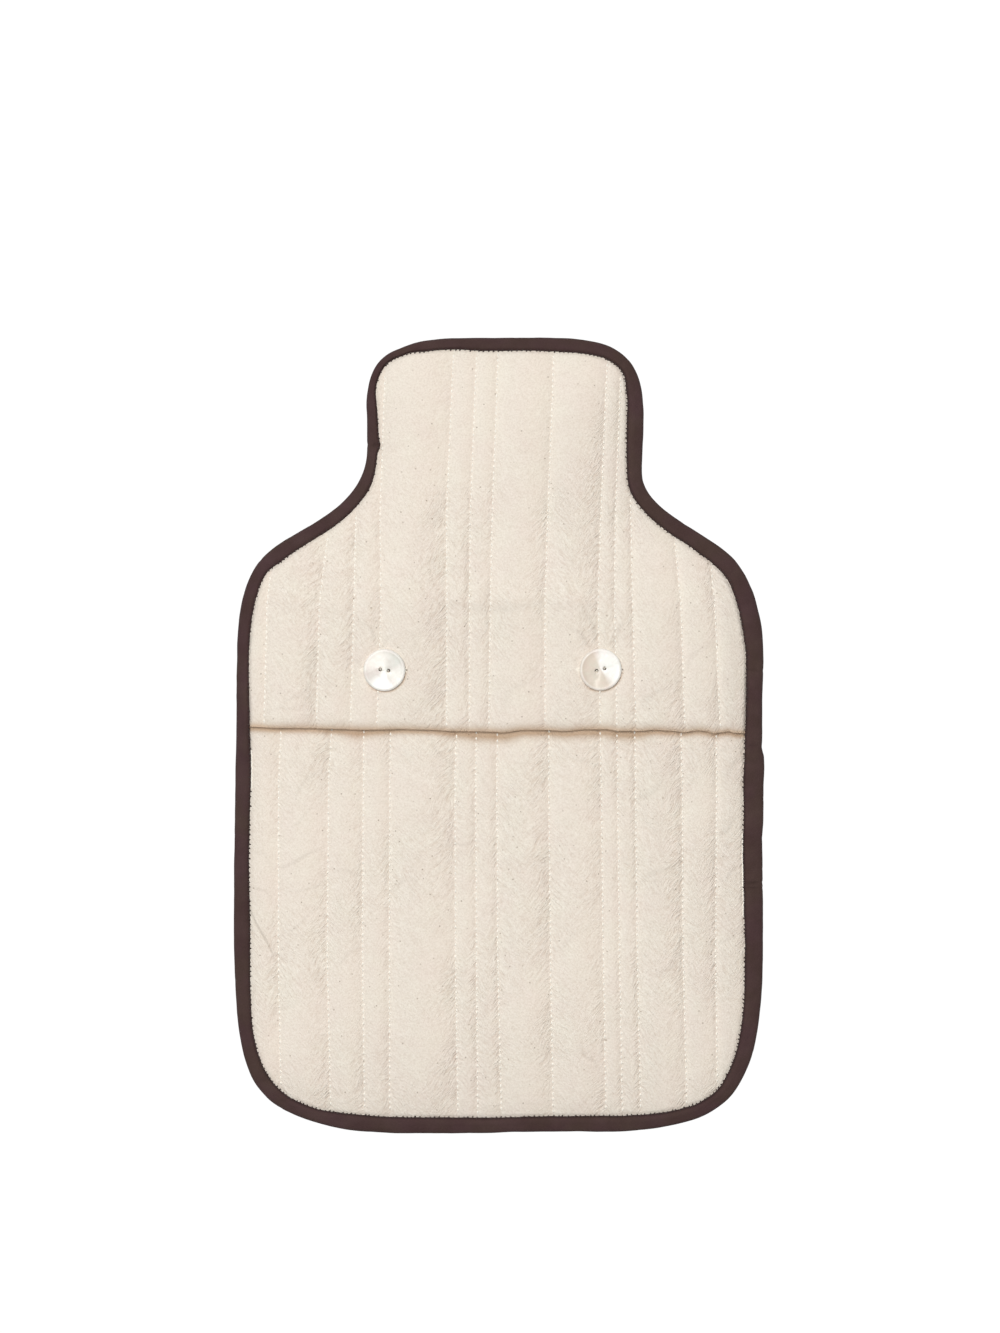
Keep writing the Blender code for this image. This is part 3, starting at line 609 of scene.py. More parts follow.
def crease_parts(creases, x, y):
    """For each crease: how much of it is at each point, how far aside, and its size."""
    for x0, y0, x1, y1, half_width, deep, rise in creases:
        long = math.hypot(x1 - x0, y1 - y0)
        ux, uy = (x1 - x0) / long, (y1 - y0) / long
        run = ((x - x0) * ux + (y - y0) * uy) / long
        side = (y - y0) * ux - (x - x0) * uy
        side = side + CREASE_SWAY * half_width * np.sin(5.0 * run + x0)
        ends = np.clip(run, 0, 1)
        past = (run - ends) * long
        fade = hump(past, 3.0) * (0.35 + 0.65 * np.sin(math.pi * clip01(0.08 + 0.84 * ends)))
        yield fade, side, half_width, deep, rise


def crease_relief(creases, x, y):
    relief = np.zeros(np.shape(x))
    for fade, side, half_width, deep, rise in crease_parts(creases, x, y):
        trough = -deep * hump(side, half_width)
        step = rise * hump(np.maximum(side, 0), 7.0) * ease(side / (2 * half_width))
        relief = relief + fade * (trough + step)
    return relief


def crease_shade(creases, x, y):
    """Painted shade along the bottom of each crease."""
    shade = np.zeros(np.shape(x))
    for fade, side, half_width, deep, _ in crease_parts(creases, x, y):
        shade = shade + CREASE_SHADE_STRENGTH * deep * fade * hump(side, 0.8 * half_width)
    return shade


def neck_calm(x, y):
    """1 where the crinkles are full, less up the neck, and last to fade at its right."""
    start = CALM_NECK_FROM + CALM_NECK_LATER * ease((x - CALM_NECK_MIDDLE) / CALM_NECK_ACROSS)
    return 1 - (1 - CALM_NECK) * ease((y - start) / CALM_NECK_OVER)


def fine_relief(stations, lines, creases, x, y, seed):
    """What the stitching, crinkles and creases add to a panel's height."""
    part, width, number = channels(stations, lines, x, y)
    from_left, from_right = part * width, (1 - part) * width
    nearest = np.minimum(from_left, from_right)
    line = np.where(from_left < from_right, number - 1, number)
    groove = -GROOVE_DEEP * hump(nearest, GROOVE_WIDE)
    beat = np.cos(2 * math.pi * (y / STITCH_PITCH - stitch_phase(line)))
    pull = 0.5 * NEEDLE_PULL * (beat - 1) * hump(nearest, NEEDLE_REACH)
    bent = x + CRINKLE_BEND * noise(x, y, 34, 26, 0, seed + 9)
    forward = noise(bent, y, *CRINKLE_SIZE, FORWARD_SLANT, seed)
    finer = noise(bent, y, *FINER_SIZE, FORWARD_SLANT + FINER_TURN, seed + 1)
    backward = noise(bent, y, *CRINKLE_SIZE, BACKWARD_SLANT, seed + 2)
    patches = 0.6 + 0.55 * noise(x, y, 26, 17, 60, seed + 3)
    to_right = ease((part - 0.25) / 0.75) * patches
    to_left = ease((0.75 - part) / 0.75) * (1.25 - patches)
    crinkles = (CRINKLE * to_right * (forward + 0.5 * finer)
                + BACKWARD_CRINKLE * to_left * backward) * neck_calm(x, y)
    lumps = LUMPS * noise(x, y, LUMP_LONG, LUMP_WIDE, LUMP_SLANT, seed + 4)
    return groove + pull + crinkles + lumps + crease_relief(creases, x, y)


# --- heights of the layers -------------------------------------------------------------------

BACK_LOW = STRIP_CLOTH + LAYER_GAP
BACK_HIGH = BACK_LOW + SEAM_CLOTH
FRONT_LOW = BACK_HIGH + LAYER_GAP
FRONT_HIGH = FRONT_LOW + SEAM_CLOTH
LAYER_STEP = SEAM_CLOTH + LAYER_GAP


def over_pocket(y):
    """1 where the seam holds three cloths, 0 where it holds two."""
    lifted = ease((y - LIFT_FROM) / LIFT_OVER)
    return lifted * (1 - ease((y - POCKET_TOP - DROP_AFTER) / DROP_OVER))


def flap_edge(x):
    """Y of the flap's free edge."""
    at = np.asarray(x, float)
    xs, ys = np.array(FLAP_EDGE).T
    k = np.clip(np.searchsorted(xs, at) - 1, 0, len(xs) - 2)
    t = (at - xs[k]) / (xs[k + 1] - xs[k])
    return ys[k] + (ys[k + 1] - ys[k]) * ease(t)


def back_heights(x, y):
    depth = depth_in(x, y)
    fill = channel_fill(BACK_STATIONS, BACK_LINES, x, y)
    settled = ease(depth / BACK_SETTLE_REACH)
    groove = BACK_GROOVE * (1 - clip01(BACK_FLATNESS * fill))
    low = BACK_LOW * (1 - settled) + groove * settled
    swell = ease(depth / BACK_SWELL_REACH)
    high = BACK_HIGH + swell * (BACK_STITCHED_RISE + BACK_CREST_RISE * fill)
    return low, high


def back_under(x, y):
    """The back's outer face, which lies on the floor: flat channels with puckered grooves."""
    low, _ = back_heights(x, y)
    relief = fine_relief(BACK_STATIONS, BACK_LINES, (), x, y, 70)
    raised = clip01((low - 0.2) / 0.5)
    return low + BACK_PUCKER * raised * np.maximum(-relief, -0.1)


def back_inside(x, y):
    return back_heights(x, y)[1]


def pocket_heights(x, y):
    depth = depth_in(x, y)
    swell = swell_from_strip(depth)
    fill = channel_fill(POCKET_STATIONS, POCKET_LINES, x, y) * swell
    crown = crown_at(x, y)
    thick = SEAM_CLOTH + swell * (STITCHED_CLOTH - SEAM_CLOTH)
    low = FRONT_LOW + POCKET_RISE * crown + sway(x, y) * crown - POCKET_UNDER_SWELL * fill
    high = low + thick + CHANNEL_SWELL * fill
    # The hem is rounded off towards its fold.
    hem = 1 - dome((POCKET_TOP - y) / HEM_ROUND)
    middle = 0.5 * (low + high)
    pinch = 1 - HEM_PINCH * hem
    return middle - (middle - low) * pinch, middle + (high - middle) * pinch


def pocket_face(x, y):
    _, high = pocket_heights(x, y)
    relief = fine_relief(POCKET_STATIONS, POCKET_LINES, POCKET_CREASES, x, y, 10)
    shown = 1 - ease((y - POCKET_HIDDEN_FROM) / POCKET_HIDDEN_OVER)
    depth = depth_in(x, y)
    puff = seam_puff(depth) * (1 - ease((y - POCKET_PUFF_TO) / POCKET_PUFF_OVER))
    return high + relief * shown * swell_from_strip(depth) + puff


def pocket_inside(x, y):
    return pocket_heights(x, y)[0]


def flap_heights(x, y):
    depth = depth_in(x, y)
    swell = swell_from_strip(depth)
    fill = channel_fill(FLAP_STATIONS, FLAP_LINES, x, y) * swell
    crown = crown_at(x, y)
    lifted = 1 - dome((y - POCKET_TOP - 1.0) / FLAP_DROP)
    low = (FRONT_LOW + LAYER_STEP * over_pocket(np.maximum(y, 0.0))
           + (FLAP_RISE + sway(x, y)) * crown
           + FLAP_LIFT * lifted * swell + FLAP_UNDER_SWELL * (swell - fill))
    thick = SEAM_CLOTH + swell * (STITCHED_CLOTH - SEAM_CLOTH)
    high = low + thick + CHANNEL_SWELL * fill
    high = high + swell * fine_relief(FLAP_STATIONS, FLAP_LINES, FLAP_CREASES, x, y, 30)
    hem_step = ease((POCKET_TOP - y) / HEM_SHOWS_OVER + 0.5)
    hem_fade = (hump(x - HEM_SHOWS_AT, HEM_SHOWS_ACROSS)
                * (1 - ease((POCKET_TOP - y) / HEM_SHOWS_DOWN)))
    high = high + HEM_SHOWS * hem_step * hem_fade * swell + seam_puff(depth)
    # The free edge is a soft fold.
    rounding = np.sqrt(1 - (1 - clip01((y - flap_edge(x)) / FOLD_ROUND)) ** 2)
    fold = FOLD_THIN + (1 - FOLD_THIN) * rounding
    high = low + (high - low) * (1 - swell * (1 - fold))
    for _, bx, by, _, lean in BUTTONS:
        reach = np.hypot(x - bx, y - by)
        slope = 0.5 * (SEAT_SLOPE_ACROSS - SEAT_ACROSS)
        pressed = 1 - ease((reach - 0.5 * SEAT_ACROSS) / slope)
        seat = seat_height(bx, by) + (x - bx) * math.tan(math.radians(lean))
        high = high + pressed * (seat - high)
    return low, high


def flap_face(x, y):
    return flap_heights(x, y)[1]


def flap_inside(x, y):
    return flap_heights(x, y)[0]


def seat_height(bx, by):
    """Height of the pressed cloth that a button lies on."""
    crown = crown_at(np.array(bx), np.array(by))
    crest = (FRONT_LOW + LAYER_STEP + (FLAP_RISE + sway(bx, by)) * crown + FLAP_LIFT
             + FULL_CHANNEL)
    return float(crest) - SEAT_PRESS


# --- meshes ----------------------------------------------------------------------------------


def add_piece(name, points, faces, material, sharp_from=60.0):
    mesh = bpy.data.meshes.new(name)
    mesh.from_pydata((MM * np.asarray(points, float)).tolist(), [], [list(f) for f in faces])
    mesh.validate()
    mesh.materials.append(material)
    mesh.shade_smooth()
    mesh.set_sharp_from_angle(angle=math.radians(sharp_from))
    obj = bpy.data.objects.new(name, mesh)
    bpy.context.scene.collection.objects.link(obj)
    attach(obj, "root")
    return obj


def add_values(obj, name, values):
    """One number for each point of a mesh, for its material to read."""
    found = obj.data.attributes.new(name, "FLOAT", "POINT")
    found.data.foreach_set("value", np.asarray(values, np.float32))


def raw_edge():
    """The cut edge of the cloths, inside the strip."""
    return EDGE + RAW_EDGE_IN * EDGE_INWARD


def cut_arc(loop, limit, keep_above):
    """The open stretch of a closed loop on one side of the curve y = limit(x), ends included."""
    side = (loop[:, 1] - limit(loop[:, 0])) * (1 if keep_above else -1)
    start = next(i for i in range(len(loop)) if side[i] <= 0 < side[(i + 1) % len(loop)])
    order = [(start + k) % len(loop) for k in range(len(loop))]
    count = next(k for k in range(1, len(loop)) if side[order[k + 1]] <= 0)
    inner = [loop[i] for i in order[1:count + 1]]

    def crossing(i, j):
        t = side[i] / (side[i] - side[j])
        x = loop[i][0] + t * (loop[j][0] - loop[i][0])
        return np.array((x, float(limit(np.array(x)))))

    first = crossing(order[0], order[1])
    last = crossing(order[count], order[count + 1])
    inner = [p for p in inner if min(math.dist(p, first), math.dist(p, last)) > NEAREST]
    return [first, *inner, last]


def closed_along(arc, limit, step):
    """An arc closed by even steps along the curve y = limit(x)."""
    start, end = arc[-1][0], arc[0][0]
    count = math.ceil(abs(end - start) / step)
    between = np.linspace(start, end, count + 1)[1:-1]
    return [*arc, *np.stack((between, limit(between)), axis=1)]


def crease_points(creases, inside):
    """Points close along the creases, so that a narrow trough keeps its shape."""
    found = []
    for x0, y0, x1, y1, half_width, *_ in creases:
        long = math.hypot(x1 - x0, y1 - y0)
        along = np.arange(0.0, long, 0.6)
        for aside in np.arange(-2.0, 2.1, 0.5) * half_width:
            found.append(np.column_stack((x0 + (along * (x1 - x0) - aside * (y1 - y0)) / long,
                                          y0 + (along * (y1 - y0) + aside * (x1 - x0)) / long)))
    points = np.concatenate(found)
    return points[inside(points[:, 0], points[:, 1])]


def column_points(stations, lines, step, inside):
    """Close rows of points in columns that follow the lines of stitching."""
    outer = [tuple(side * OUTERMOST_LINE for _ in stations) for side in (-1, 1)]
    rows = (outer[0], *lines, outer[1])
    found = []
    column = 0
    for here, beyond in zip(rows, rows[1:]):
        gap = beyond[1] - here[1]
        even = max(1, round((gap - 2 * BESIDE_LINE) / step))
        parts = BESIDE_LINE + (gap - 2 * BESIDE_LINE) * np.arange(even + 1) / even
        for part in (0.0, *(parts / gap)):
            y = np.arange(-179.0, 179.0, step) + 0.5 * step * (column % 2)
            x = ((1 - part) * line_at(stations, here, y) + part * line_at(stations, beyond, y))
            found.append(np.stack((x, y), axis=1))
            column += 1
    points = np.concatenate(found)
    return points[inside(points[:, 0], points[:, 1])]


def even_points(step, inside):
    """A plain grid of points for a face that nobody sees."""
    x, y = np.meshgrid(np.arange(-118.0, 118.0, step), np.arange(-178.0, 178.0, step))
    x = x + 0.5 * step * (np.arange(len(x))[:, None] % 2)
    x, y = x.ravel(), y.ravel()
    keep = inside(x, y)
    return np.stack((x[keep], y[keep]), axis=1)


def within(loop, x, y):
    """Which points are inside a convex loop that runs counter-clockwise."""
    inside = np.full(np.shape(x), True)
    for a, b in zip(loop, loop[1:] + loop[:1]):
        inside &= (b[0] - a[0]) * (y - a[1]) > (b[1] - a[1]) * (x - a[0])
    return inside


def triangulate(loops, points):
    """Triangles inside the first loop and outside the others, which are holes.

    Gives the points, the triangles, and where each point of each loop went.
    """
    flat, edges, places = [], [], []
    for loop in loops:
        first = len(flat)
        places.append(range(first, first + len(loop)))
        flat += [(float(x), float(y)) for x, y in loop]
        edges += [(first + k, first + (k + 1) % len(loop)) for k in range(len(loop))]
    flat += [(float(x), float(y)) for x, y in points]
    inside_outer_loop = 1
    verts, _, faces, sources, *_ = delaunay_2d_cdt(flat, edges, [], inside_outer_loop, 1e-4)
    went = {source: k for k, found in enumerate(sources) for source in found}
    xy = np.array([tuple(v) for v in verts])
    triangles = np.array([tuple(f) for f in faces])
    for hole in loops[1:]:
        middle = xy[triangles].mean(axis=1)
        inside = within([tuple(p) for p in hole], middle[:, 0], middle[:, 1])
        triangles = triangles[~inside]
    return xy, triangles, [[went[k] for k in place] for place in places]


def add_shell(name, loops, top_points, under_points, top, under, material):
    """A closed sheet: its top and underside have their own points, and share its edges."""
    upper, upper_faces, upper_loops = triangulate(loops, top_points)
    lower, lower_faces, lower_loops = triangulate(loops, under_points)
    count = len(upper)
    faces = upper_faces.tolist() + (lower_faces[:, ::-1] + count).tolist()
    for k, (above, below) in enumerate(zip(upper_loops, lower_loops)):
        # The first loop runs counter-clockwise, and so do the holes.
        for i in range(len(above)):
            j = (i + 1) % len(above)
            wall = [above[j], above[i], below[i] + count, below[j] + count]
            faces.append(wall if k == 0 else wall[::-1])
    z_top, z_under = top(*upper.T), under(*lower.T)
    points = np.concatenate((np.column_stack((upper, z_top)), np.column_stack((lower, z_under))))
    return add_piece(name, points, faces, material)


def loop_area(loop):
    x, y = np.array(loop).T
    return 0.5 * abs(float(np.dot(x, np.roll(y, -1)) - np.dot(y, np.roll(x, -1))))


def oval(x, y, across, along, steps):
    turns = np.linspace(0, 2 * math.pi, steps, endpoint=False)
    return [(x + 0.5 * across * math.cos(a), y + 0.5 * along * math.sin(a)) for a in turns]


def slit(bx, by):
    """The buttonhole under a button: a narrow lens."""
    return oval(bx, by, SLIT_LONG, SLIT_WIDE, 48)


# --- stitches --------------------------------------------------------------------------------


def bead_shape(rings=5, sides=6):
    """A rounded bead from -1 to 1 along X, as points and faces."""
    points = [(-1.0, 0.0, 0.0)]
    for k in range(1, rings + 1):
        lean = math.pi * k / (rings + 1)
        points += [(-math.cos(lean), math.sin(lean) ** 0.7 * math.cos(turn),
                    math.sin(lean) ** 0.7 * math.sin(turn))
                   for turn in np.linspace(0, 2 * math.pi, sides, endpoint=False)]
    points.append((1.0, 0.0, 0.0))
    faces = []
    last = len(points) - 1
    for s in range(sides):
        t = (s + 1) % sides
        faces.append((0, 1 + t, 1 + s))
        for k in range(rings - 1):
            a, b = 1 + k * sides, 1 + (k + 1) * sides
            faces.append((a + s, a + t, b + t, b + s))
        a = 1 + (rings - 1) * sides
        faces.append((a + s, a + t, last))
    return np.array(points), faces


def add_beads(name, centres, directions, up, size, arch, material):
    """Many beads in one piece; size is half their length, width and height."""
    shape, shape_faces = bead_shape()
    half_long, half_wide, half_high = size
    centres, directions = np.asarray(centres, float), np.asarray(directions, float)
    directions = directions / np.linalg.norm(directions, axis=1)[:, None]
    sides = np.cross(up, directions)
    sides /= np.linalg.norm(sides, axis=1)[:, None]
    ups = np.cross(directions, sides)
    u, v, w = shape.T
    half_long = np.broadcast_to(half_long, len(centres))
    points = (centres[:, None, :]
              + (half_long[:, None] * u)[..., None] * directions[:, None, :]
              + (half_wide * v)[None, :, None] * sides[:, None, :]
              + (half_high * w - arch * u * u)[None, :, None] * ups[:, None, :])
    faces = [tuple(i + k * len(shape) for i in face)
             for k in range(len(centres)) for face in shape_faces]
    return add_piece(name, points.reshape(-1, 3), faces, material)


def quilting_stitches(name, stations, lines, limits, face, material, seed, outward=1.0):
    """Small stitches along every line of quilting between two limits, lying on the cloth."""
    random = np.random.default_rng(seed)
    xs, ys = [], []
    for number, line in enumerate(lines):
        low, high = panel_reach(stations, line, *limits)
        first = math.ceil(low / STITCH_PITCH - stitch_phase(number))
        last = math.floor(high / STITCH_PITCH - stitch_phase(number))
        y = (np.arange(first, last + 1) + stitch_phase(number)) * STITCH_PITCH
        ys.append(y)
        xs.append(line_at(stations, line, y))
    x, y = np.concatenate(xs), np.concatenate(ys)
    x = x + random.normal(0, STITCH_ASTRAY_X, len(x))
    y = y + random.normal(0, STITCH_ASTRAY_Y, len(y))
    half = 0.5 * STITCH_LONG * random.uniform(STITCH_SHORTEST, STITCH_LONGEST, len(x))
    before, after = np.column_stack((x, y - half)), np.column_stack((x, y + half))
    rise = face(*after.T) - face(*before.T)
    lean = random.normal(0, STITCH_LEAN, len(x))
    directions = np.column_stack((lean, np.ones(len(x)), 0.5 * rise / half))
    z = 0.25 * (face(*after.T) + face(*before.T)) + 0.5 * face(x, y)
    centres = np.column_stack((x, y, z + outward * STITCH_OUT * STITCH_HIGH))
    size = (half, 0.5 * STITCH_WIDE, 0.5 * STITCH_HIGH)
    return add_beads(name, centres, directions, (0.0, 0.0, outward), size, STITCH_ARCH, material)


def panel_reach(stations, line, low_limit, high_limit):
    """Where a line of stitching enters and leaves the cloth that shows inside the strip."""
    y = np.arange(-HALF_LONG, HALF_LONG, 0.25)
    x = line_at(stations, line, y)
    good = (depth_in(x, y) > STITCH_FIRST_IN) & (y > low_limit(x)) & (y < high_limit(x))
    inside = y[good]
    return (float(inside[0]), float(inside[-1])) if len(inside) else (1.0, 0.0)


# --- materials -------------------------------------------------------------------------------


def new_material(name, inputs):
    made = bpy.data.materials.new(name)
    made.use_nodes = True
    tree = made.node_tree
    shader = tree.nodes["Principled BSDF"]
    for key, value in inputs.items():
        shader.inputs[key].default_value = value
    return made, tree, shader


def node(tree, kind, values=None, **settings):
    """A shader node. Values are numbers, or the sockets that feed its inputs."""
    made = tree.nodes.new(kind)
    for name, value in settings.items():
        setattr(made, name, value)
    for key, value in (values or {}).items():
        if isinstance(value, bpy.types.NodeSocket):
            tree.links.new(value, made.inputs[key])
        else:
            made.inputs[key].default_value = value
    return made


def math_node(tree, operation, *values):
    return node(tree, "ShaderNodeMath", dict(enumerate(values)), operation=operation).outputs[0]


def add(tree, first, second):
    return math_node(tree, "ADD", first, second)


def times(tree, first, second):
    return math_node(tree, "MULTIPLY", first, second)


def mapped(tree, size, turn=0.0, where=None):
    """Coordinates on the object, divided by a size in mm along each axis of a turned frame."""
    where = where or node(tree, "ShaderNodeTexCoord").outputs["Object"]
    size = size if hasattr(size, "__len__") else (size, size, size)
    return node(tree, "ShaderNodeMapping", {
        "Vector": where,
        "Rotation": (0.0, 0.0, math.radians(turn)),
        "Scale": tuple(MM * s for s in size),
    }, vector_type="TEXTURE").outputs[0]


def noise_node(tree, size, turn=0.0, detail=2.0, rough=0.5, distort=0.0, where=None):
    return node(tree, "ShaderNodeTexNoise", {
        "Vector": mapped(tree, size, turn, where),
        "Scale": 1.0,
        "Detail": detail,
        "Roughness": rough,
        "Distortion": distort,
    }).outputs["Fac"]


def ramp(tree, value, *stops):
    """A colour or grey ramp; each stop is its place and its colour or grey."""
    made = node(tree, "ShaderNodeValToRGB", {"Fac": value})
    elements = made.color_ramp.elements
    while len(elements) < len(stops):
        elements.new(0.5)
    for element, (place, colour) in zip(elements, stops):
        element.position = place
        grey = not hasattr(colour, "__len__")
        element.color = (colour, colour, colour, 1) if grey else (*colour, 1)
    return made.outputs["Color"]


def mix_colour(tree, factor, first, second, blend="MIX"):
    made = tree.nodes.new("ShaderNodeMix")
    made.data_type = "RGBA"
    made.blend_type = blend
    for socket, value in ((made.inputs[0], factor), (made.inputs[6], first),
                          (made.inputs[7], second)):
        if isinstance(value, bpy.types.NodeSocket):
            tree.links.new(value, socket)
        elif hasattr(value, "__len__"):
            socket.default_value = (*value, 1.0)
        else:
            socket.default_value = value
    return made.outputs[2]


def tinted(tree, share, colour, value, *stops):
    """A colour multiplied by a ramp, for a share of its full strength."""
    return mix_colour(tree, share, colour, ramp(tree, value, *stops), "MULTIPLY")


def attribute(tree, name):
    return node(tree, "ShaderNodeAttribute", attribute_name=name).outputs["Fac"]


def finish(tree, shader, colour, height):
    """Feeds a colour to the shader, and a height in mm as bump."""
    bump = node(tree, "ShaderNodeBump", {"Strength": 1.0, "Distance": MM, "Height": height})
    tree.links.new(colour, shader.inputs["Base Color"])
    tree.links.new(bump.outputs["Normal"], shader.inputs["Normal"])


def cream_cloth():
    """Washed cotton: soft, faintly mottled, with slanted crinkles, fuzz and a few dark flecks, and
    with painted shade and painted light mixed into its colour.
    """
    made, tree, shader = new_material("cream_cloth", {
        "Roughness": 0.92,
        "Specular IOR Level": 0.18,
        "Sheen Weight": 0.08,
        "Sheen Roughness": 0.6,
    })
    right, calm = attribute(tree, "to_right"), attribute(tree, "crinkled")

    mottle = noise_node(tree, 14.0, detail=3.0)
    colour = ramp(tree, mottle, (0.30, (0.862, 0.790, 0.716)), (0.70, (0.872, 0.822, 0.734)))
    clouds = noise_node(tree, 4.5, detail=3.0, rough=0.6)
    colour = tinted(tree, 0.18, colour, clouds, (0.3, (0.93, 0.905, 0.890)), (0.7, (1.0, 1.0, 1.0)))

    # Slanted strokes, which lie on a drifting grid and turn over from left to right in a channel.
    drift = node(tree, "ShaderNodeTexNoise", {
        "Vector": mapped(tree, 17.0), "Scale": 1.0, "Detail": 1.0}).outputs["Color"]
    where = node(tree, "ShaderNodeVectorMath", {
        0: drift,
        1: (MM * 7.0, MM * 7.0, 0.0),
        2: node(tree, "ShaderNodeTexCoord").outputs["Object"],
    }, operation="MULTIPLY_ADD").outputs[0]

    def slanted(turn):
        long = noise_node(tree, (4.6, 0.86, 3.0), turn, detail=1.5, rough=0.5, where=where)
        short = noise_node(tree, (2.6, 0.52, 3.0), turn, detail=2.0, rough=0.6, where=where)
        return add(tree, times(tree, long, 0.55), times(tree, short, 0.62))

    strokes = node(tree, "ShaderNodeMix", {
        0: right, 2: slanted(BACKWARD_SLANT), 3: slanted(FORWARD_SLANT)}).outputs[0]
    middle = 0.582
    strength = times(tree, calm, add(tree, times(tree, right, 0.36), 0.50))
    strokes = times(tree, math_node(tree, "SUBTRACT", strokes, middle), strength)
    # The strokes darken the colour in their hollows and lighten it on their ridges, as their bump
    # does: painted shade and painted light.
    colour = tinted(tree, 0.75, colour, add(tree, strokes, 0.5),
                    (0.38, (0.83, 0.77, 0.73)), (0.5, (0.965, 0.95, 0.94)),
                    (0.6, (1.045, 1.055, 1.06)))
    # Painted shade that grows across each channel towards its right side, where the cloth slopes
    # away from the light.
    colour = mix_colour(tree, right, colour, (0.995, 0.972, 0.958), "MULTIPLY")
    grain = noise_node(tree, 0.8, detail=3.0, rough=0.7)
    colour = tinted(tree, 0.85, colour, grain, (0.30, (0.85, 0.825, 0.80)), (0.60, (1.0, 1.0, 1.0)))

    flecks = node(tree, "ShaderNodeTexVoronoi", {
        "Vector": mapped(tree, 6.3, 17.0), "Scale": 1.0, "Randomness": 1.0},
        voronoi_dimensions="2D")
    small = ramp(tree, flecks.outputs["Distance"], (0.025, 1.0), (0.07, 0.0))
    number = node(tree, "ShaderNodeSeparateColor", {"Color": flecks.outputs["Color"]}).outputs[0]
    chosen = ramp(tree, number, (0.66, 0.0), (1.0, 0.85))
    colour = mix_colour(tree, times(tree, small, chosen), colour, (0.30, 0.235, 0.18))

    # Painted shade: along the creases, from the flap and from the buttons, and a warm brown painted
    # shade in the gap under the flap's fold.
    for name, shade, blend in (("painted_crease_shade", (0.57, 0.555, 0.54), "MULTIPLY"),
                               ("painted_shade", (0.62, 0.50, 0.40), "MULTIPLY"),
                               ("inward", (0.82, 0.62, 0.45), "MIX")):
        colour = mix_colour(tree, attribute(tree, name), colour, shade, blend)
    fuzz = noise_node(tree, 0.62, detail=3.0, rough=0.7)
    finish(tree, shader, colour, add(tree, times(tree, strokes, 1.15), times(tree, fuzz, 0.2)))
    return made


def thread(name, colour):
    """Twisted cotton thread."""
    made, tree, shader = new_material(name, {"Roughness": 0.75, "Specular IOR Level": 0.3})
    twist = noise_node(tree, (0.9, 0.25, 0.9), 35.0, detail=2.0)
    dark = tuple(0.9 * c for c in colour)
    finish(tree, shader, ramp(tree, twist, (0.35, dark), (0.6, colour)), times(tree, twist, 0.12))
    return made


def brown_cloth():
    """Fine plain cotton, dark brown, with painted shade in its folds and along its inner edge."""
    made, tree, shader = new_material("brown_cloth", {
        "Roughness": 0.85,
        "Specular IOR Level": 0.12,
        "Sheen Weight": 0.02,
        "Sheen Roughness": 0.5,
        "Sheen Tint": (1.0, 0.85, 0.80, 1.0),
    })
    patches = noise_node(tree, 9.0, detail=3.0)
    colour = ramp(tree, patches, (0.30, (0.060, 0.0345, 0.0315)), (0.72, (0.074, 0.044, 0.0415)))
    hue = noise_node(tree, (16.0, 16.0, 4.0), detail=2.0)
    colour = tinted(tree, 1.0, colour, hue, (0.35, (1.03, 1.06, 0.98)), (0.65, (1.05, 0.98, 1.08)))
    grain = noise_node(tree, 0.5, detail=3.0, rough=0.7)
    colour = tinted(tree, 0.8, colour, grain, (0.3, (0.80, 0.80, 0.80)), (0.7, (1.0, 1.0, 1.0)))
    # Painted shade along the strip's inner edge and in its folds.
    colour = mix_colour(tree, attribute(tree, "painted_edge_and_fold_shade"), colour, (0.62, 0.60, 0.60), "MULTIPLY")
    ribs = noise_node(tree, (2.2, 0.45, 2.0), 45.0, detail=2.0)
    finish(tree, shader, colour, add(tree, times(tree, grain, 0.10), times(tree, ribs, 0.14)))
    return made


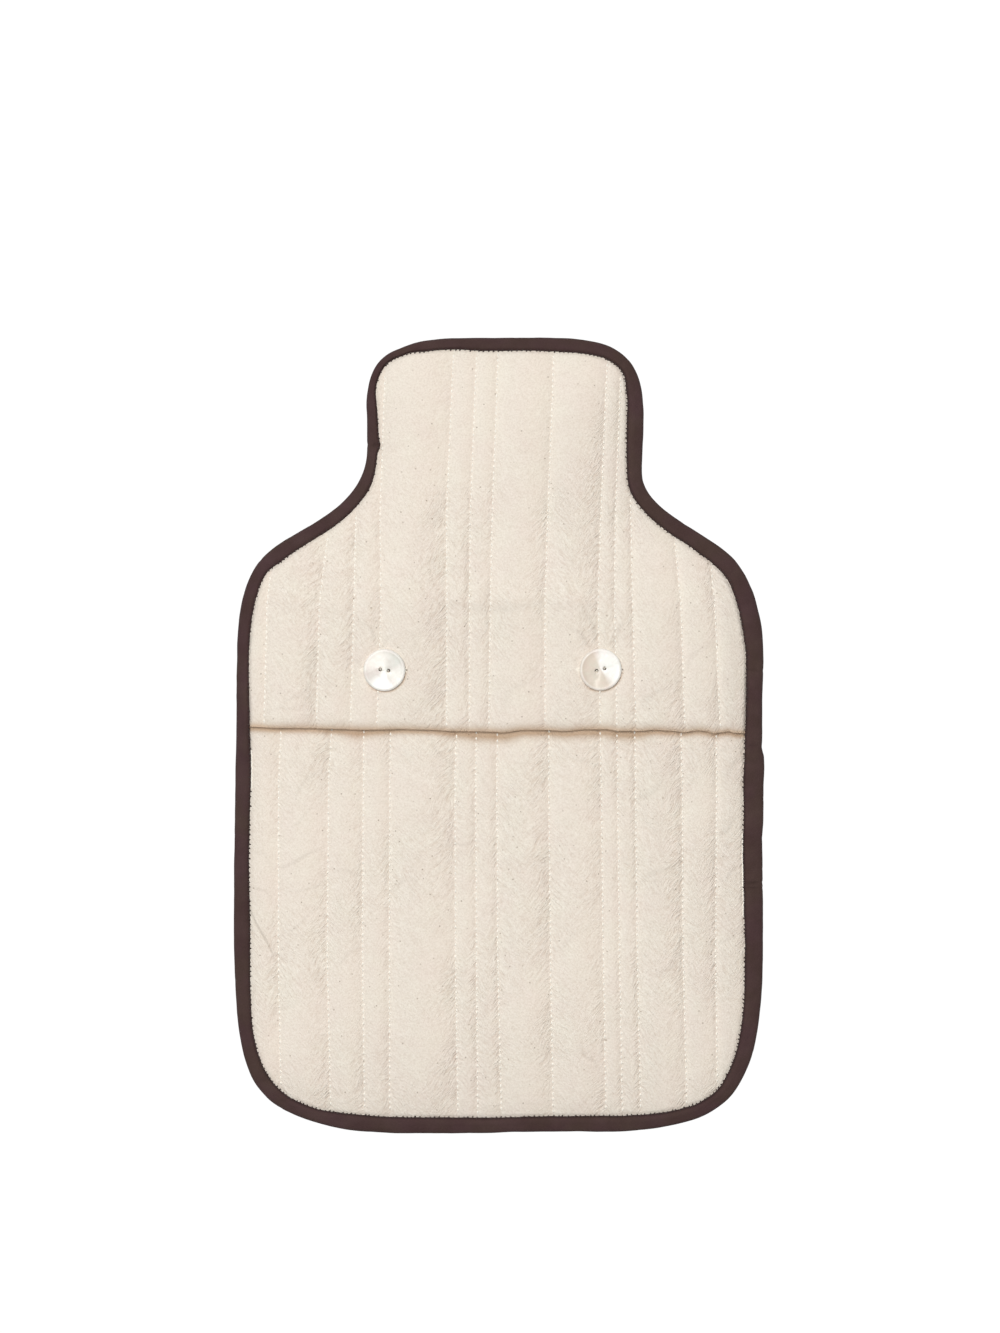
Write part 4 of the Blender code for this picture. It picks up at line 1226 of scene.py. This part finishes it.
def shell_finish(name, turn, wedges, seed):
    """Polished mother-of-pearl: soft wedges of painted light and shade, standing for its sheen,
    that meet near the middle.
    """
    made, tree, shader = new_material(name, {
        "Roughness": 0.35,
        "Specular IOR Level": 0.3,
        "Coat Weight": 0.1,
        "Coat Roughness": 0.15,
    })
    place = node(tree, "ShaderNodeMapping", {
        "Vector": node(tree, "ShaderNodeTexCoord").outputs["Object"],
        "Rotation": (0.0, 0.0, math.radians(turn)),
        "Scale": (2.0 / (MM * BUTTON_ACROSS),) * 3,
    }).outputs[0]

    def cloudy(scale, shift, detail=2.0, distort=0.8):
        found = node(tree, "ShaderNodeTexNoise", {
            "Vector": place, "W": seed + shift, "Scale": scale, "Detail": detail,
            "Distortion": distort}, noise_dimensions="4D")
        return math_node(tree, "SUBTRACT", found.outputs["Fac"], 0.5)

    parts = node(tree, "ShaderNodeSeparateXYZ", {"Vector": place})
    angle = math_node(tree, "ARCTAN2", parts.outputs[1], parts.outputs[0])
    angle = add(tree, angle, times(tree, cloudy(1.1, 0.0), 0.9))
    share = math_node(tree, "FRACT", add(tree, math_node(tree, "DIVIDE", angle, 2 * math.pi), 1.0))
    # Painted light and shade: the shell's sheen as wedges of colour round its middle.
    colour = ramp(tree, share, *[(degrees / 360, colour) for degrees, colour in wedges])
    from_middle = node(tree, "ShaderNodeVectorMath", {0: place}, operation="LENGTH").outputs[1]
    rim = ramp(tree, from_middle, (0.86, 0.0), (0.93, 0.55))
    colour = mix_colour(tree, rim, colour, (0.93, 0.90, 0.86))
    middle = ramp(tree, from_middle, (0.05, 0.5), (0.4, 0.0))
    colour = mix_colour(tree, middle, colour, (0.86, 0.84, 0.80))
    colour = tinted(tree, 1.0, colour, cloudy(2.6, 4.0, 3.0, 1.6),
                    (0.0, (0.955, 0.95, 0.94)), (0.08, (1.0, 1.0, 1.0)))
    colour = tinted(tree, 1.0, colour, add(tree, cloudy(1.7, 8.0), 0.5),
                    (0.36, (1.0, 0.965, 0.965)), (0.5, (1.0, 1.0, 0.99)),
                    (0.64, (0.97, 1.0, 0.985)))
    finish(tree, shader, colour, times(tree, cloudy(1.4, 4.0), 0.2))
    return made


# --- the pieces ------------------------------------------------------------------------------


def no_painted_shade(x, y):
    return np.zeros(np.shape(x))


def shade_reach(x):
    return np.interp(x, [row[0] for row in UNDER_FLAP], [row[1] for row in UNDER_FLAP])


def pocket_painted_shadow(x, y):
    """Painted shadow of the flap on the pocket below its edge, reaching furthest where the pocket's
    furrows gather.
    """
    reach = shade_reach(x)
    below = flap_edge(x) - y
    shade = (0.30 + 0.23 * reach) * hump(np.maximum(below - 0.5 * reach, 0), 1.0 + 0.75 * reach)
    shade = shade + 0.3 * hump(depth_in(x, y), 10.0) * hump(below, 1.3)
    return shade + 0.4 * hump(below - 0.9, 1.2)


def flap_painted_shade(x, y):
    """Painted shade on the flap's folded edge, and a painted shadow of each button on the cloth
    beside it.
    """
    painted_button_shadow = np.zeros(np.shape(x))
    # Painted shadow of each button on the cloth beside it, on one side only.
    for _, bx, by, *_ in BUTTONS:
        reach = np.hypot(x - bx, y - by)
        away = ((x - bx) * BUTTON_SHADOW_WAY[0] + (y - by) * BUTTON_SHADOW_WAY[1]) / np.maximum(reach, 1.0)
        painted_button_shadow += ease(1.4 * away) * (1 - ease((reach - 0.5 * BUTTON_ACROSS - 0.2) / 0.9))
    shade = (0.16 + 0.08 * shade_reach(x)) * hump(y - flap_edge(x), 3.0)
    above = y - flap_edge(x)
    shade = shade + 0.5 * hump(depth_in(x, y), 10.0) * hump(above, 0.9)
    shade = shade + 0.4 * (hump(above, 1.6) - 0.7 * hump(above, 0.45))
    return shade + 0.8 * painted_button_shadow


# Warm brown painted shade on the pocket, in the gap under the flap's fold.
def pocket_gap_shade(x, y):
    below = flap_edge(x) - y
    return np.maximum(1 - ease((below + 0.5) / 1.2), 0.35 * hump(below, 1.3))


# Warm brown painted shade on the flap's folded edge, beside the gap under it.
def flap_gap_shade(x, y):
    above = y - flap_edge(x)
    return clip01(0.6 * hump(above, 0.5) + 0.4 * hump(above, 1.5))


def mark_crinkles(obj, stations, lines, creases=(), painted_shade=no_painted_shade, inward=no_painted_shade):
    """Tells the cloth's material which way the crinkles slant, how strong they are, and where its
    painted shade lies.
    """
    count = len(obj.data.vertices)
    flat = np.empty(count * 3, np.float32)
    obj.data.vertices.foreach_get("co", flat)
    x, y = flat[0::3] / MM, flat[1::3] / MM
    part, _, _ = channels(stations, lines, x, y)
    patches = clip01(0.75 + 0.6 * noise(x, y, 30, 15, 62, 13))
    add_values(obj, "to_right", ease((part - 0.15) / 0.8))
    add_values(obj, "crinkled", neck_calm(x, y) * patches)
    # Painted shade in the creases, from the flap and the buttons, and in the gap under the flap's
    # fold.
    add_values(obj, "painted_crease_shade", crease_shade(creases, x, y))
    add_values(obj, "painted_shade", painted_shade(x, y))
    add_values(obj, "inward", inward(x, y))


def raw_edge_clear(x, y):
    return edge_distance(x, y) > RAW_EDGE_IN + CLEAR_OF_EDGE


def hidden_clear(x, y):
    return edge_distance(x, y) > RAW_EDGE_IN + HIDDEN_CLEAR


def add_back(cloth, stitch_thread):
    loop = raw_edge()[::2]
    under = column_points(BACK_STATIONS, BACK_LINES, BACK_STEP, raw_edge_clear)
    inside = even_points(HIDDEN_STEP, hidden_clear)
    back = add_shell("back_cloth", [loop], inside, under, back_inside, back_under, cloth)
    mark_crinkles(back, BACK_STATIONS, BACK_LINES)
    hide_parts("back_panel")
    stitches = quilting_stitches(
        "back_stitches", BACK_STATIONS, BACK_LINES, (lambda x: -HALF_LONG, lambda x: HALF_LONG),
        lambda x, y: back_under(x, y) + BACK_STITCH_SUNK, stitch_thread, 3, outward=-1.0)
    return back, stitches, loop_area(loop)


def add_pocket(cloth, stitch_thread):
    def top(x):
        return np.full(np.shape(x), POCKET_TOP)

    arc = cut_arc(raw_edge(), top, keep_above=False)
    loop = closed_along(arc, top, 1.5)

    def shown(x, y):
        return raw_edge_clear(x, y) & (y < POCKET_TOP - CLEAR_OF_EDGE)

    upper = column_points(POCKET_STATIONS, POCKET_LINES, POCKET_STEP, shown)
    hidden = upper[:, 1] > POCKET_COARSE_FROM
    upper = np.concatenate((upper[~hidden], upper[hidden][::5],
                            crease_points(POCKET_CREASES, shown)))
    inside = even_points(HIDDEN_STEP, lambda x, y: (
        hidden_clear(x, y) & (y < POCKET_TOP - HIDDEN_CLEAR)))
    pocket = add_shell("pocket_cloth", [loop], upper, inside, pocket_face, pocket_inside, cloth)
    mark_crinkles(pocket, POCKET_STATIONS, POCKET_LINES, POCKET_CREASES, pocket_painted_shadow, pocket_gap_shade)
    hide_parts("front_panel")
    stitches = quilting_stitches(
        "pocket_stitches", POCKET_STATIONS, POCKET_LINES,
        (lambda x: -HALF_LONG, lambda x: POCKET_STITCHES_TO), pocket_face, stitch_thread, 1)
    return pocket, stitches, loop_area(loop)


def add_flap(cloth, stitch_thread):
    arc = cut_arc(raw_edge(), flap_edge, keep_above=True)
    loop = closed_along(arc, flap_edge, 0.7)
    slits = [slit(bx, by) for _, bx, by, *_ in BUTTONS]

    def clear_of_slits(x, y):
        clear = np.full(np.shape(x), True)
        for _, bx, by, *_ in BUTTONS:
            clear &= (np.hypot((x - bx) / (SLIT_LONG + 1.0), (y - by) / (SLIT_WIDE + 1.0)) > 0.5)
        return clear

    def shown(x, y):
        return raw_edge_clear(x, y) & clear_of_slits(x, y) & (y > flap_edge(x) + FOLD_ROWS_TO)

    fold_x = np.arange(-116.0, 116.0, 0.8)
    fold = np.concatenate([np.column_stack((fold_x, flap_edge(fold_x) + away))
                           for away in FOLD_ROWS])
    upper = np.concatenate((fold[raw_edge_clear(*fold.T)],
                            column_points(FLAP_STATIONS, FLAP_LINES, FLAP_STEP, shown),
                            crease_points(FLAP_CREASES, shown)))
    inside = even_points(HIDDEN_STEP, lambda x, y: (
        hidden_clear(x, y) & (y > flap_edge(x) + HIDDEN_CLEAR) & clear_of_slits(x, y)))
    flap = add_shell("flap_cloth", [loop, *slits], upper, inside, flap_face, flap_inside, cloth)
    mark_crinkles(flap, FLAP_STATIONS, FLAP_LINES, FLAP_CREASES, flap_painted_shade, flap_gap_shade)
    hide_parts("flap")

    stitches = quilting_stitches(
        "flap_stitches", FLAP_STATIONS, FLAP_LINES,
        (lambda x: flap_edge(x) + FOLD_ROWS_TO, lambda x: HALF_LONG), flap_face, stitch_thread, 2)
    return flap, stitches, loop_area(loop)


def strip_section(width, rise, crown, ripple, tooth):
    """The folded strip's section, as inset and height, from its lower lip round to its upper."""
    wall, top = STRIP_CLOTH, FRONT_HIGH + LAYER_GAP + STRIP_CLOTH + rise
    lip = width + tooth
    half, bend = 0.5 * top, min(STRIP_ROUND, lip - 1.2)
    third = (lip - 0.5 - bend) / 3
    points = [(lip, 0.35), (lip - 0.12, 0.1), (lip - 0.5, 0.0), (bend + 2 * third, 0.0),
              (bend + third, 0.0)]
    for step in range(9):
        angle = -0.5 * math.pi + math.pi * step / 8
        points.append((bend - bend * math.cos(angle) ** 0.75,
                       half + half * math.sin(angle)))
    for part in (0.12, 0.25, 0.4, 0.55, 0.7, 0.82, 0.91, 1.0):
        swell = crown * math.sin(math.pi * min(1.0, part * 1.08)) + ripple * (1 - part ** 4)
        points.append((bend + part * (lip - 0.5 - bend), top + swell - STRIP_PRESSED * part ** 3))
    pressed = top - STRIP_PRESSED
    points += [(lip - 0.14, pressed - 0.08), (lip, pressed - 0.3), (lip, top - wall)]
    inner = wall + LAYER_GAP
    points += [(inner + 1.0, top - wall), (inner, top - 1.8 * wall), (inner, 1.8 * wall),
               (inner + 1.0, wall), (lip, wall)]
    return points


def add_strip(cloth):
    lap = 2 * math.pi * EDGE_RUN / EDGE_AROUND

    def round_noise(pitch, seed):
        """Noise along the strip that meets itself after a lap."""
        radius = EDGE_AROUND / (2 * math.pi * pitch)
        return noise(radius * np.cos(lap), radius * np.sin(lap), 1.0, 1.0, 0.0, seed)

    wave = STRIP_WAVE * (round_noise(9.0, 41) + 0.6 * round_noise(4.0, 42))
    ripple = STRIP_RIPPLE * (round_noise(3.4, 43) + 0.5 * round_noise(1.6, 44))
    tooth = STRIP_TEETH * (round_noise(2.1, 45) + round_noise(6.0, 46))
    crown = STRIP_CROWN * (1 + 0.4 * round_noise(12.0, 47))
    fold_shade, lean = np.zeros(len(EDGE)), 0.45 * round_noise(9.0, 48)
    for at, half_width, deep in STRIP_CREASES:
        fold = deep * hump(EDGE_RUN - at, half_width)
        ripple = ripple - 1.4 * fold
        wave = wave - 0.6 * fold
        fold_shade = np.maximum(fold_shade, STRIP_CREASE_SHADE_STRENGTH * (fold - STRIP_CREASE_CLEAN))
    points, faces, painted_edge_and_fold_shade = [], [], []
    sections = len(EDGE)
    for i, ((x, y), (nx, ny), width) in enumerate(zip(EDGE, EDGE_INWARD, EDGE_WIDTH)):
        rise = LAYER_STEP * float(over_pocket(y + ny * 0.5 * width))
        for u, z in strip_section(width, rise, crown[i], ripple[i], tooth[i]):
            outward = wave[i] * (1 - clip01(u / 4.0))
            points.append((x + nx * (u - outward), y + ny * (u - outward), z))
            # Painted shade in the folds and along the inner edge.
            fold = float(np.interp(EDGE_RUN[i] + lean[i] * (u - 4.0), EDGE_RUN, fold_shade))
            painted_edge_and_fold_shade.append(max(float(ease((u - width + 1.3) / 1.1)),
                                  fold * float(ease((u - 1.0) / 1.5))))
    count = len(points) // sections
    for i in range(sections):
        here, beyond = i * count, (i + 1) % sections * count
        for k in range(count):
            step = (k + 1) % count
            faces.append((here + step, here + k, beyond + k, beyond + step))
    strip = add_piece("edge_strip", points, faces, cloth)
    add_values(strip, "painted_edge_and_fold_shade", painted_edge_and_fold_shade)
    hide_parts("binding")
    return strip, tooth


def beside_strip(at, tooth, further):
    """Points along the strip's inner edge, moved further in, and the inward direction there."""
    closed_run = np.append(EDGE_RUN, EDGE_AROUND)

    def read(values):
        return np.interp(at, closed_run, np.append(values, values[0]))

    inset = read(EDGE_WIDTH + tooth) + further
    nx, ny = read(EDGE_INWARD[:, 0]), read(EDGE_INWARD[:, 1])
    return read(EDGE[:, 0]) + nx * inset, read(EDGE[:, 1]) + ny * inset, nx, ny


def add_strip_stitches(tooth, material):
    """Small dark slanted stitches that hold the strip's inner edge and reach over it."""
    random = np.random.default_rng(51)
    at = np.arange(0.5 * STRIP_STITCH_PITCH, EDGE_AROUND - 1.0, STRIP_STITCH_PITCH)
    at = at + random.normal(0, STRIP_STITCH_UNEVEN, len(at))
    under = np.zeros(len(at))
    for start, end in HIDDEN_STITCHES:
        from_end = np.minimum(at - start, end - at)
        under = np.maximum(under, ease(from_end / HIDDEN_STITCHES_OVER))
    further = random.normal(STRIP_STITCH_FURTHER, STRIP_STITCH_ASTRAY, len(at))
    further = further - STRIP_STITCH_UNDER * under
    x, y, nx, ny = beside_strip(at, tooth, further)
    top = FRONT_HIGH + LAYER_GAP + STRIP_CLOTH + LAYER_STEP * over_pocket(y)
    centres = np.column_stack((x, y, top - STRIP_STITCH_LOW))
    turn = np.radians(STRIP_STITCH_TURN + random.normal(0, STRIP_STITCH_TURN_UNEVEN, len(at)))
    directions = np.column_stack((ny * np.cos(turn) + nx * np.sin(turn),
                                  -nx * np.cos(turn) + ny * np.sin(turn),
                                  np.full(len(x), -0.3)))
    size = (0.5 * STRIP_STITCH_LONG, 0.5 * STRIP_STITCH_WIDE, 0.5 * STRIP_STITCH_HIGH)
    return add_beads("strip_stitches", centres, directions, UP, size, STRIP_STITCH_ARCH, material)


def add_edge_threads(tooth, material):
    """Stretches of pale thread that lie beside the strip, where the seam shows."""
    stretches = []
    for side, low, high in EDGE_THREADS:
        chosen = (EDGE[:, 0] * side > 0) & (EDGE[:, 1] > low) & (EDGE[:, 1] < high)
        stretches.append(np.arange(EDGE_RUN[chosen].min(), EDGE_RUN[chosen].max(),
                                   EDGE_THREAD_PITCH))
    x, y, nx, ny = beside_strip(np.concatenate(stretches), tooth, EDGE_THREAD_IN)
    centres = np.column_stack((x, y, pocket_face(x, y) + EDGE_THREAD_UP))
    directions = np.column_stack((ny, -nx, np.zeros(len(x))))
    return add_beads("edge_threads", centres, directions, UP, EDGE_THREAD_SIZE, 0.0, material)


def button_profile(rows, x, y):
    """Reads a profile at points on a button."""
    inset, height = np.array(rows).T
    return np.interp(0.5 * BUTTON_ACROSS - np.hypot(x, y), inset, height)


def add_button(name, bx, by, turn, lean, shell, sewing):
    outer = oval(0, 0, BUTTON_ACROSS, BUTTON_ACROSS, 120)
    eyes = [oval(x, 0, EYE_ACROSS, EYE_ACROSS, EYE_STEPS) for x in EYES_X]
    rings = []
    for r in BUTTON_RINGS:
        rings += oval(0, 0, 2 * r, 2 * r, 12 + int(10 * r))
    for x in EYES_X:
        rings += oval(x, 0, EYE_ACROSS + 0.3, EYE_ACROSS + 0.3, EYE_STEPS)
    rings = np.array(rings)

    def from_eye(x, y):
        """How far the nearest eye's middle is."""
        return np.min([np.hypot(x - eye_x, y) for eye_x in EYES_X], axis=0)

    rings = rings[from_eye(*rings.T) > 0.5 * EYE_ACROSS + 0.1]

    def face(x, y):
        worn = EYE_WORN * hump(from_eye(x, y) - 0.5 * EYE_ACROSS, 0.3)
        return BUTTON_THICK - button_profile(BUTTON_FACE, x, y) - worn

    disc = add_shell(f"shell_{name}", [outer, *eyes], rings, rings, face,
                     lambda x, y: button_profile(BUTTON_BACK, x, y), shell)
    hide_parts(name)
    height = seat_height(bx, by) + BUTTON_CLEAR
    pieces = [disc, add_button_thread(name, sewing), add_buttonhole(name, bx, by, sewing)]
    for piece in pieces[:2]:
        piece.location = (MM * bx, MM * by, MM * height)
        piece.rotation_mode = "ZXY"
        piece.rotation_euler = (0.0, -math.radians(lean), math.radians(turn))
    return pieces


def add_button_thread(name, sewing):
    """Thread that goes down through the eyes of a button."""
    surface = BUTTON_THICK - BUTTON_DISH
    centres = [(x - math.copysign(EYE_THREAD_TAUT, x), 0.0, surface - deep) for x in EYES_X
               for deep in EYE_THREAD_DEEP]
    along_y = (0.0, 1.0, 0.0)
    return add_beads(f"thread_{name}", centres, [UP] * len(centres), along_y, EYE_THREAD_SIZE,
                     0.0, sewing)


def add_buttonhole(name, bx, by, sewing):
    """Close stitches over the edge of the buttonhole, which shows at its ends."""
    turns = np.linspace(0.45, 2 * math.pi - 0.45, HOLE_STITCHES)
    x = bx + (0.5 * SLIT_LONG + 0.35) * np.cos(turns)
    y = by + (0.5 * SLIT_WIDE + 0.5) * np.sin(turns)
    centres = np.column_stack((x, y, flap_face(x, y) + 0.02))
    directions = np.column_stack((0.25 * np.cos(turns), np.sin(turns) + 0.02,
                                  np.zeros(len(turns))))
    directions[np.abs(np.sin(turns)) < 0.2] = (1.0, 0.0, 0.0)
    return add_beads(f"buttonhole_{name}", centres, directions, UP, HOLE_STITCH_SIZE,
                     HOLE_STITCH_ARCH, sewing)


# --- floor, light and camera -----------------------------------------------------------------

PHOTO_SCALE = 0.4525  # mm on the object for each pixel of the 1000 x 1333 picture
PICTURE_HIGH = 1333 * PHOTO_SCALE
CAMERA_X, CAMERA_Y = 0.7, 31.1
CAMERA_AWAY = 3000.0
MIDDLE_HEIGHT = 8.0  # of the cloth's face, where the scale holds
SENSOR = 36.0
WORLD_LIGHT = 0.15
WORLD_COLOUR = (1.0, 0.975, 0.955, 1.0)
FLOOR_GLOW = 1.02
FLOOR_BELOW = 0.4
# name, azimuth and elevation (degrees), distance and size (metres), power (watts), colour
LIGHTS = (
    ("key", 129, 70, 6.0, 2.8, 209, (1.0, 1.0, 0.985)),
    ("top", 105, 84, 6.0, 3.6, 161, (1.0, 1.0, 0.99)),
)
QUILTING_THREAD = (0.97, 0.93, 0.85)
STRIP_THREAD = (0.050, 0.033, 0.031)
BUTTON_THREAD = (0.93, 0.865, 0.77)
SHELL_SEEDS = (1.7, 6.2)


def add_floor():
    """A plain white sheet, lit so brightly that no shadow shows on it."""
    white, *_ = new_material("white_floor", {
        "Base Color": (0.02, 0.02, 0.02, 1),
        "Roughness": 1.0,
        "Specular IOR Level": 0.0,
        "Emission Color": (1, 1, 1, 1),
        "Emission Strength": FLOOR_GLOW,
    })
    bpy.ops.mesh.primitive_plane_add(size=30.0, location=(0, 0, -MM * FLOOR_BELOW))
    floor = bpy.context.object
    floor.name = "floor"
    floor.data.materials.append(white)


def add_area_light(name, azimuth, elevation, away, size, energy, colour):
    """A soft square lamp; azimuth 0 is towards +X and 90 towards +Y."""
    data = bpy.data.lights.new(name, "AREA")
    data.size = size
    data.energy = energy
    data.color = colour
    lamp = bpy.data.objects.new(name, data)
    bpy.context.scene.collection.objects.link(lamp)
    a, e = math.radians(azimuth), math.radians(elevation)
    lamp.location = (away * math.cos(e) * math.cos(a), away * math.cos(e) * math.sin(a),
                     away * math.sin(e))
    lamp.rotation_mode = "QUATERNION"
    lamp.rotation_quaternion = lamp.location.to_track_quat("Z", "Y")


def add_world():
    world = bpy.data.worlds.new("soft_white")
    world.use_nodes = True
    tree = world.node_tree
    background = tree.nodes["Background"]
    background.inputs["Color"].default_value = WORLD_COLOUR
    seen = node(tree, "ShaderNodeLightPath").outputs["Is Camera Ray"]
    tree.links.new(add(tree, seen, WORLD_LIGHT), background.inputs["Strength"])
    bpy.context.scene.world = world


def add_camera():
    data = bpy.data.cameras.new("camera")
    data.sensor_width = SENSOR
    data.lens = SENSOR * (CAMERA_AWAY - MIDDLE_HEIGHT) / PICTURE_HIGH
    data.clip_end = 20.0
    camera = bpy.data.objects.new("camera", data)
    bpy.context.scene.collection.objects.link(camera)
    camera.location = (MM * CAMERA_X, MM * CAMERA_Y, MM * CAMERA_AWAY)
    bpy.context.scene.camera = camera


def declare_cloth(strip):
    """Splits the strip from the pieces sewn onto it, and makes nothing of them."""
    strip_cloth, *sewing = strip
    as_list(sewing)


def main():
    add_camera()
    add_world()
    add_floor()
    for light in LIGHTS:
        add_area_light(*light)
    cream = cream_cloth()
    brown = brown_cloth()
    quilting = thread("quilting_thread", QUILTING_THREAD)
    dark = thread("strip_thread", STRIP_THREAD)
    sewing = thread("button_thread", BUTTON_THREAD)
    back = add_back(cream, quilting)
    pocket = add_pocket(cream, quilting)
    flap = add_flap(cream, quilting)
    strip, tooth = add_strip(brown)
    strip_stitches = add_strip_stitches(tooth, dark)
    edge_threads = add_edge_threads(tooth, quilting)
    for (name, bx, by, turn, lean), wedges, seed in zip(BUTTONS, SHELL_WEDGES, SHELL_SEEDS):
        shell = shell_finish(f"shell_{name}", turn, wedges, seed)
        add_button(name, bx, by, turn, lean, shell, sewing)
    declare_cloth((strip, strip_stitches, edge_threads))
    bpy.context.scene.view_settings.view_transform = "Standard"


main()
